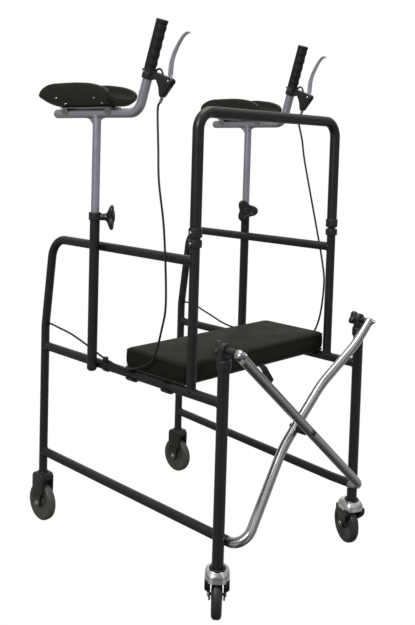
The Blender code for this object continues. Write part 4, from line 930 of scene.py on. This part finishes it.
def rear_wheel(side):
    """A dished hub and a low tyre round it."""
    spin = Matrix.Translation((side.x, 0, WHEEL_R)) @ ALONG_X
    rim, w = WHEEL_R - 0.0135, REAR_HALF
    hub = [(AXLE_R + GAP, -w), (0.0105, -w), (0.0125, -w + 0.0008), (0.014, -w + 0.0045),
           (rim - 0.008, -w + 0.0055), (rim - 0.006, -w + 0.0045), (rim - 0.0045, -w + 0.0012),
           (rim - 0.003, -w + 0.0008), (rim, -w + 0.0008)]
    hub = turned(mirrored_profile(hub), spin, 64)
    side.add("hub", hub, GREY, "rear_wheel", "rear_hub", slot="black_plastic")
    tyre = [(rim + SNUG, -w + 0.0003), (rim + 0.004, -w - 0.0001), (rim + 0.0085, -w),
            (WHEEL_R - 0.0028, -w + 0.0012), (WHEEL_R - 0.001, -w + 0.003),
            (WHEEL_R - 0.0001, -w + 0.006), (WHEEL_R, 0)]
    side.add("tyre", turned(mirrored_profile(tyre), spin, 96), GREY, "rear_wheel", "rear_tyre")


# Front caster
HOOD_HALF, HOOD_FRONT, HOOD_REAR, HOOD_TOP, HOOD_LOW = 0.027, -0.026, 0.036, 0.1215, 0.097
CHEEK_IN = CASTER_HALF + 0.0018


def swivel_place(side):
    """The caster's own frame, turned to where the wheel trails in the photo."""
    trail = Vector((-0.7355, -0.6775)) if side.s > 0 else Vector((-0.453, -0.891))
    angle = Vector((0, 1)).angle_signed(trail)
    return Matrix.Translation((side.x, FRONT_LEG_Y, 0)) @ Matrix.Rotation(-angle, 4, "Z")


def caster_hood(side, swivel):
    """The chrome hood over the wheel, hollow and open below, and the ring between it and the leg."""
    cut, inner = HOOD_LOW - 0.05, 0.0245
    hood = box_shape((-HOOD_HALF, HOOD_FRONT, cut), (HOOD_HALF, HOOD_REAR, HOOD_TOP), 0.0195, swivel, 8)
    hood = side.add("hood", hood, HOOD, "caster", "caster_fork")
    carve(hood, box_shape((-inner, HOOD_FRONT + 0.0025, cut), (inner, HOOD_REAR - 0.0025, HOOD_TOP - 0.008),
                          0.015, swivel, 5))
    carve(hood, box_shape((-0.05, HOOD_FRONT - 0.02, cut), (0.05, HOOD_REAR + 0.02, HOOD_LOW), 0, swivel))
    carve(hood, box_shape((-CHEEK_IN - 0.001, 0.007, HOOD_LOW - 0.001),
                          (CHEEK_IN + 0.001, HOOD_REAR + 0.02, 0.105), 0, swivel))
    ring = rounded([(0.0128, 0.1195), (0.019, 0.1195), (0.0175, 0.1228), (0.0128, 0.1228)], 0.0008)
    side.add("hood_ring", turned(ring, swivel), PAINT, "caster", slot="chrome")


def caster_cheeks(side, swivel):
    """Two cheeks that draw in from the hood to the wheel, in the black frame paint as painted shade and
    painted dark reflection, and the riveted ends of its axle.
    """
    facing_wheel = swivel @ UPRIGHT
    edge, knee, out_x = HOOD_HALF - 0.0003, 0.08, CASTER_HALF + 0.0055
    outline = [(-edge, HOOD_LOW + 0.004), (-edge, knee), (-out_x, WHEEL_R + 0.016),
               (-out_x, WHEEL_R - 0.02), (out_x, WHEEL_R - 0.02), (out_x, WHEEL_R + 0.016),
               (edge, knee), (edge, HOOD_LOW + 0.004)]
    cheeks = prism_shape(outline, -HOOD_REAR - 0.01, 0.01 - HOOD_FRONT, facing_wheel)
    # Painted shade: the black frame paint on the cheeks stands for the shadow and the dark floor reflection
    # on the plated fork legs.
    cheeks = side.add("cheeks", cheeks, PAINT, "caster")
    outline = [(-CHEEK_IN, 0.0), (-CHEEK_IN, HOOD_TOP), (CHEEK_IN, HOOD_TOP), (CHEEK_IN, 0.0)]
    carve(cheeks, prism_shape(outline, -HOOD_REAR - 0.02, 0.02 - HOOD_FRONT, facing_wheel))
    boss = 0.0125
    front, rear = HOOD_FRONT + 0.004, HOOD_REAR - 0.004
    rake = [(front, HOOD_LOW + 0.006), (front, 0.09), (front + 0.01, 0.076),
            (TRAIL - boss, WHEEL_R + 0.005)]
    rake += arc((TRAIL, WHEEL_R), boss, 180, 360, 16)
    rake += [(TRAIL + boss, WHEEL_R + 0.008), (rear - 0.004, 0.076), (rear, 0.09), (rear, HOOD_LOW + 0.006)]
    carve(cheeks, prism_shape(rake, -HOOD_HALF - 0.01, HOOD_HALF + 0.01, swivel @ ALONG_X), "INTERSECT")
    rivet = [(0, -0.006), (0.003, -0.006), (0.003, 0), (0.006, 0), (0.0058, 0.0012), (0.0045, 0.0026),
             (0.002, 0.0034), (0, 0.0036)]
    for tag, way in (("in", -1), ("out", 1)):
        turn = swivel @ facing((way * 0.018, TRAIL, WHEEL_R), (way, 0, 0))
        side.add("rivet_" + tag, turned(rivet, turn, 28), ZINC, "caster")


def caster(side):
    """The swivelling front wheel under its hood."""
    swivel = swivel_place(side)
    caster_hood(side, swivel)
    caster_cheeks(side, swivel)
    w = CASTER_HALF
    wheel = [(AXLE_R + GAP, -w), (0.0115, -w), (0.013, -w + 0.001), (0.0145, -w + 0.005),
             (0.032, -w + 0.0055), (0.034, -w + 0.0045), (0.036, -w + 0.0012), (0.04, -w + 0.0008),
             (0.0445, -w + 0.0016), (0.0478, -w + 0.0036), (0.0493, -w + 0.0062), (0.0499, -w + 0.0092),
             (0.05, 0)]
    spin = swivel @ Matrix.Translation((0, TRAIL, WHEEL_R)) @ ALONG_X
    wheel = turned(mirrored_profile(wheel), spin, 96)
    side.add("caster_tyre", wheel, BLACK, "caster_wheel", "caster_wheel")


# Scissor brace
def brace_point(reach):
    """How far over and up a brace goes, at a distance along it from its foot."""
    rise = PIVOT_Z - BOTTOM_RAIL_Z
    run = sqrt(BRACE_X ** 2 + rise ** 2)
    return reach * BRACE_X / run, reach * rise / run


def brace(hand, s, body):
    """A tube from its socket on one side up to a notch over the knob screw on the other side."""
    foot_x, plane, length = -s * BRACE_X, BRACE_Y[hand], 0.6355
    over, up_to = brace_point(length)
    route = [(foot_x + s * over, plane, BOTTOM_RAIL_Z + up_to)]
    if s > 0:
        route.append((foot_x, plane, BOTTOM_RAIL_Z))
        bends = [0.0362]
    else:
        # The left brace steps back behind the right one where they cross
        for reach, y in ((0.5555, plane), (0.4255, 0.65), (0.24, 0.65)):
            over, up_to = brace_point(reach)
            route.append((foot_x + s * over, y, BOTTOM_RAIL_Z + up_to))
        route.append((foot_x, 0.7, BOTTOM_RAIL_Z))
        bends = [0.25, 0.25, 0.3, 0.036]
    route.append((foot_x, SOCKET_Y, BOTTOM_RAIL_Z))
    tube = tube_shape(rounded_path(route[::-1], bends[::-1], radians(3)), BRACE_R, end="round")
    tube = solid("brace_tube_" + hand, tube, CHROME, body, "brace_" + hand)
    knob_x, screw_r = s * HALF_WIDTH, 0.0045
    notch = [(knob_x - screw_r, KNOB_Z - 0.03), (knob_x + screw_r, KNOB_Z - 0.03)]
    notch += arc((knob_x, KNOB_Z), screw_r, 0, 180, 16)
    carve(tube, prism_shape(notch, -plane - 0.02, -plane + 0.02, UPRIGHT))
    plug = [(0, 0.6), (0.008, 0.6), (0.009, 0.602), (0.009, 0.657), (0, 0.657)]
    socket = Matrix.Translation((foot_x, 0, BOTTOM_RAIL_Z)) @ ALONG_Y
    solid("brace_spigot_" + hand, turned(plug, socket), CHROME, body)


def brace_crossing():
    """The spacer between the braces, and the bolt through them."""
    rear, front = 0.6613, 0.6807
    block = band(0.003, 0.0115, rear, front, 0.0012)
    block = turned(block, Matrix.Translation((0, 0, PIVOT_Z)) @ ALONG_Y)
    solid("pivot_block", block, PLASTIC, "brace_lower", "brace_pivot")
    head = [(0, -0.003), (0.0066, -0.003), (0.0066, 0.0006), (0.0058, 0.0024), (0.0038, 0.0042), (0, 0.005)]
    for tag, y, way in (("front", 0.703, 1), ("rear", 0.639, -1)):
        bolt = turned(head, facing((0, y, PIVOT_Z), (0, way, 0)), 32)
        solid("pivot_bolt_" + tag, bolt, PLASTIC, "brace_lower", slot="chrome")


# Backrest
def backrest():
    """The bent bar, the plug in its left foot, and a ring with a screw round each foot."""
    foot_z, top_z, bend = 0.8135, 1.086, 0.04
    path = [(HALF_WIDTH, UPRIGHT_Y, foot_z), (HALF_WIDTH, UPRIGHT_Y, top_z),
            (-HALF_WIDTH, UPRIGHT_Y, top_z), (-HALF_WIDTH, UPRIGHT_Y, foot_z)]
    bar = tube_shape(rounded_path(path, [bend, bend], radians(3)), BACK_R, BACK_WALL)
    solid("backrest_tube", bar, PAINT, "backrest", "backrest_bar")
    plug = [(0, 0.806), (0.0085, 0.806), (0.0092, 0.807), (0.0092, 0.82), (0, 0.82)]
    plug = turned(plug, Matrix.Translation((-HALF_WIDTH, UPRIGHT_Y, 0)), 32)
    solid("foot_plug_left", plug, PAINT, "backrest")
    for hand, s in (("right", 1), ("left", -1)):
        low, high = 0.816, 0.835
        ring = band(BACK_R + SNUG, 0.0153, low, high, 0.0014)
        ring = turned(ring, Matrix.Translation((s * HALF_WIDTH, UPRIGHT_Y, 0)))
        solid("foot_ring_" + hand, ring, PLASTIC, "backrest", "backrest_ring_" + hand)
        screw_head("foot_screw_" + hand, (s * (HALF_WIDTH + COLLAR_R), UPRIGHT_Y, (low + high) / 2),
                   (s, 0, 0), SCREW_R, "backrest")


# Seat
def seat_ring(z, draw):
    """A rounded rectangle, drawn in from the seat's edge, with closely spaced points."""
    ring = []
    a, b = SEAT_HALF_X - draw - SEAT_CURL, SEAT_HALF_Y - draw - SEAT_CURL
    centres = [Vector((cx, SEAT_Y + cy, z)) for cx, cy in ((a, b), (-a, b), (-a, -b), (a, -b))]
    for corner, centre in enumerate(centres):
        turns = [pi / 2 * corner + pi / 2 * k / 8 for k in range(9)]
        spokes = [Vector((cos(t), sin(t), 0)) * SEAT_CURL for t in turns]
        ring += [centre + spoke for spoke in spokes]
        start = centre + spokes[-1]
        end = centres[(corner + 1) % 4] + spokes[-1]
        steps = 36 if corner in (0, 2) else 12
        ring += [start + (end - start) * (k / steps) for k in range(1, steps)]
    return ring


def seat_cushion():
    """A crowned cover whose top dips a little unevenly."""
    rings = [seat_ring(z, draw) for z, draw in (
        (SEAT_LOW, 0.0075), (SEAT_LOW + 0.0015, 0.0035), (SEAT_LOW + 0.005, 0.0012),
        (SEAT_LOW + 0.012, 0.0002), (SEAT_LOW + 0.02, 0.0), (SEAT_TOP - 0.014, 0.0002),
        (SEAT_TOP - 0.0085, 0.0008), (SEAT_TOP - 0.006, 0.0006), (SEAT_TOP - 0.0045, 0.0014),
        (SEAT_TOP - 0.003, 0.0028), (SEAT_TOP - 0.0015, 0.005), (SEAT_TOP - 0.0003, 0.009),
        (SEAT_TOP + 0.0006, 0.015))]
    edge, centre = rings[-1], Vector((0, SEAT_Y, 0))
    for shrink in (0.9, 0.8, 0.7, 0.6, 0.5, 0.4, 0.3, 0.2, 0.1, 0.04):
        ring = []
        for p in edge:
            q = centre + (Vector((p.x, p.y, 0)) - centre) * shrink
            dip = noise.noise(Vector((q.x * 9, q.y * 9, 0.3))) * 0.001
            q.z = SEAT_TOP + 0.0006 + 0.004 * (1 - shrink ** 2) + dip * (1 - shrink)
            ring.append(q)
        rings.append(ring)
    cushion = solid("cushion", skin(rings), VINYL, "seat", "seat_cushion")


def seat_skirt():
    """The thin rim of the board that shows under the cushion."""
    half_x, half_y, low, high = 0.2555, 0.098, 0.4857, 0.4915
    skirt = box_shape((-half_x, SEAT_Y - half_y, low), (half_x, SEAT_Y + half_y, high), 0.002)
    solid("seat_skirt", skirt, PLASTIC, "seat")


def seat_welt(name, z, draw):
    """A thin cord sewn round the cushion's edge."""
    above = Vector((0, 0, 1))
    ring = seat_ring(z, draw)
    rings = []
    for n, p in enumerate(ring):
        way = (ring[(n + 1) % len(ring)] - ring[n - 1]).normalized()
        lead = way.cross(above).normalized()
        rings.append([p + spoke for spoke in circle(lead, above, 0.0011, 8)])
    solid(name, skin(rings, round_again=True), VINYL, "seat")


def pull_strap():
    """The webbing that hangs from under the seat's front edge."""
    half, thin_half = 0.0095, 0.0008
    section = ((-1, -0.4), (-0.94, -1), (0.94, -1), (1, -0.4), (1, 0.4), (0.94, 1), (-0.94, 1), (-1, 0.4))
    spots = smooth([(-0.006, 0.5335, STRAP_TOP + 0.0025), (-0.008, 0.542, STRAP_TOP - 0.004),
                    (-0.02, 0.544, STRAP_TOP - 0.022), (-0.04, 0.542, STRAP_TOP - 0.045)], 0.003)
    rings = []
    for n, here in enumerate(spots):
        way = way_at(spots, n)
        t = min(1.0, n / 6)
        flat = Vector((1 - 0.05 * t, 0, -0.3 * t))
        flat = (flat - way * flat.dot(way)).normalized()
        thin = way.cross(flat)
        rings.append([here + flat * (u * half) + thin * (v * thin_half) for u, v in section])
    solid("strap", skin(rings), WEB, "seat", "pull_strap")


# Forearm pads
def curve_off(distance, length):
    """How far a pad's end has curved off, from 0 to 1, on a quarter ellipse of that length."""
    share = max(0.0, distance / length)
    return 1 - sqrt(max(0.0, 1 - share ** 2))


def wing_heights(y):
    """The underside and the top of the pad's wings at y, as quarter ellipses at both ends."""
    curl = max(curve_off(PAD_REAR + 0.062 - y, 0.062), curve_off(y - PAD_FRONT + 0.125, 0.125))
    above = PAD_HEIGHT - 0.026 * curl
    below = (PAD_HEIGHT - 0.032) * curve_off(PAD_REAR + 0.05 - y, 0.05)
    below += 0.012 * curve_off(y - PAD_FRONT + 0.012, 0.012)
    return below, above


def trough_point(y, t, half, low, rise, wave):
    """A point of the trough's section, at an angle t from its left wing to its right one."""
    sign = 1 if t > 0 else -1
    return Vector((sign * half * abs(sin(t)) ** 0.75, y,
                   PAD_BASE + low + rise * (1 - abs(cos(t)) ** 0.75) + wave))


def pad_section(side, y):
    """The outer skin, the rolled edges and the inner skin of the trough at y, as one ring."""
    below, above = wing_heights(y)
    tall = above - below
    thick = min(PAD_THICK, tall * 0.45)
    outer, inner = [], []
    for k in range(45):
        t = radians(-90 + 180 * k / 44)
        fine = 0.0004 * noise.noise(Vector((y * 30, t * 2, side.s)))
        outer.append(trough_point(y, t, PAD_HALF - 0.001, below + 0.0004, tall - 0.0004, fine))
        soft = 0.0012 * noise.noise(Vector((y * 26, t * 2.5, 4 + side.s)))
        inner.append(trough_point(y, t, PAD_HALF - thick, below + thick, tall - thick, soft))
    inner.reverse()
    turns = [pi * k / 6 for k in range(1, 6)]
    swell = Vector((0, 0, thick * 0.45))
    rolls = []
    for a, b in ((outer[-1], inner[0]), (inner[-1], outer[0])):
        rolls.append([(a + b) / 2 + (a - b) / 2 * cos(turn) + swell * sin(turn) for turn in turns])
    return [side.rest @ p for p in outer + rolls[0] + inner + rolls[1]]


def forearm_pad(side):
    """A foam trough with rolled edges and rounded ends."""
    rows = 72
    start, end = PAD_REAR + 0.0004, PAD_FRONT - 0.0004
    places = [start + (end - start) * (0.5 - 0.5 * cos(pi * n / rows)) for n in range(rows + 1)]
    rings = [pad_section(side, y) for y in places]
    pad = side.add("pad", skin(rings), FOAM, "forearm", "forearm_pad")


def strap_studs(side):
    """The studs of the strap that ties the pad, two pairs on each wing."""
    stud = [(0, 0), (0.0042, 0), (0.0042, 0.0008), (0.003, 0.0018), (0, 0.0022)]
    for wing, way in (("inboard", 1), ("outboard", -1)):
        for n, (y, z) in enumerate(STUDS):
            share = max(0.0, min(1.0, (z - PAD_BASE) / PAD_HEIGHT))
            reach = (PAD_HALF - 0.001) * (1 - (1 - share) ** (8 / 3)) ** 0.375
            place = side.rest @ facing((way * (reach - 0.0008), y, z), (way, 0, 0.35))
            name = "strap_stud_%s_%s_%d" % (wing, side.hand, n + 1)
            solid(name, turned(stud, place, 20), ZINC, "forearm_" + side.hand)


sides = [Side("right", 1), Side("left", -1)]
for one in sides:
    for make in (frame_tubes, frame_welds, leg_cap, leg_knob, upright_collar, height_knob, rest_tubes,
                 pad_plate, grip, brake_bracket, brake_lever, cable_clip, brake_cable, rear_housing,
                 axle_ends, brake_shoe, rear_wheel, caster):
        make(one)
brace("right", 1, "brace_upper")
brace("left", -1, "brace_lower")
brace_crossing()
backrest()
# The seat board stays as it is in the CAD, under a crowned cushion
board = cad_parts["seat_board"]
board.data.materials.clear()
board.data.materials.append(PLASTIC)
seat_cushion()
seat_skirt()
seat_welt("welt_top", SEAT_TOP - 0.006, 0.0006)
seat_welt("welt_low", SEAT_LOW + 0.0035, 0.0022)
pull_strap()
for one in sides:
    forearm_pad(one)
    strap_studs(one)
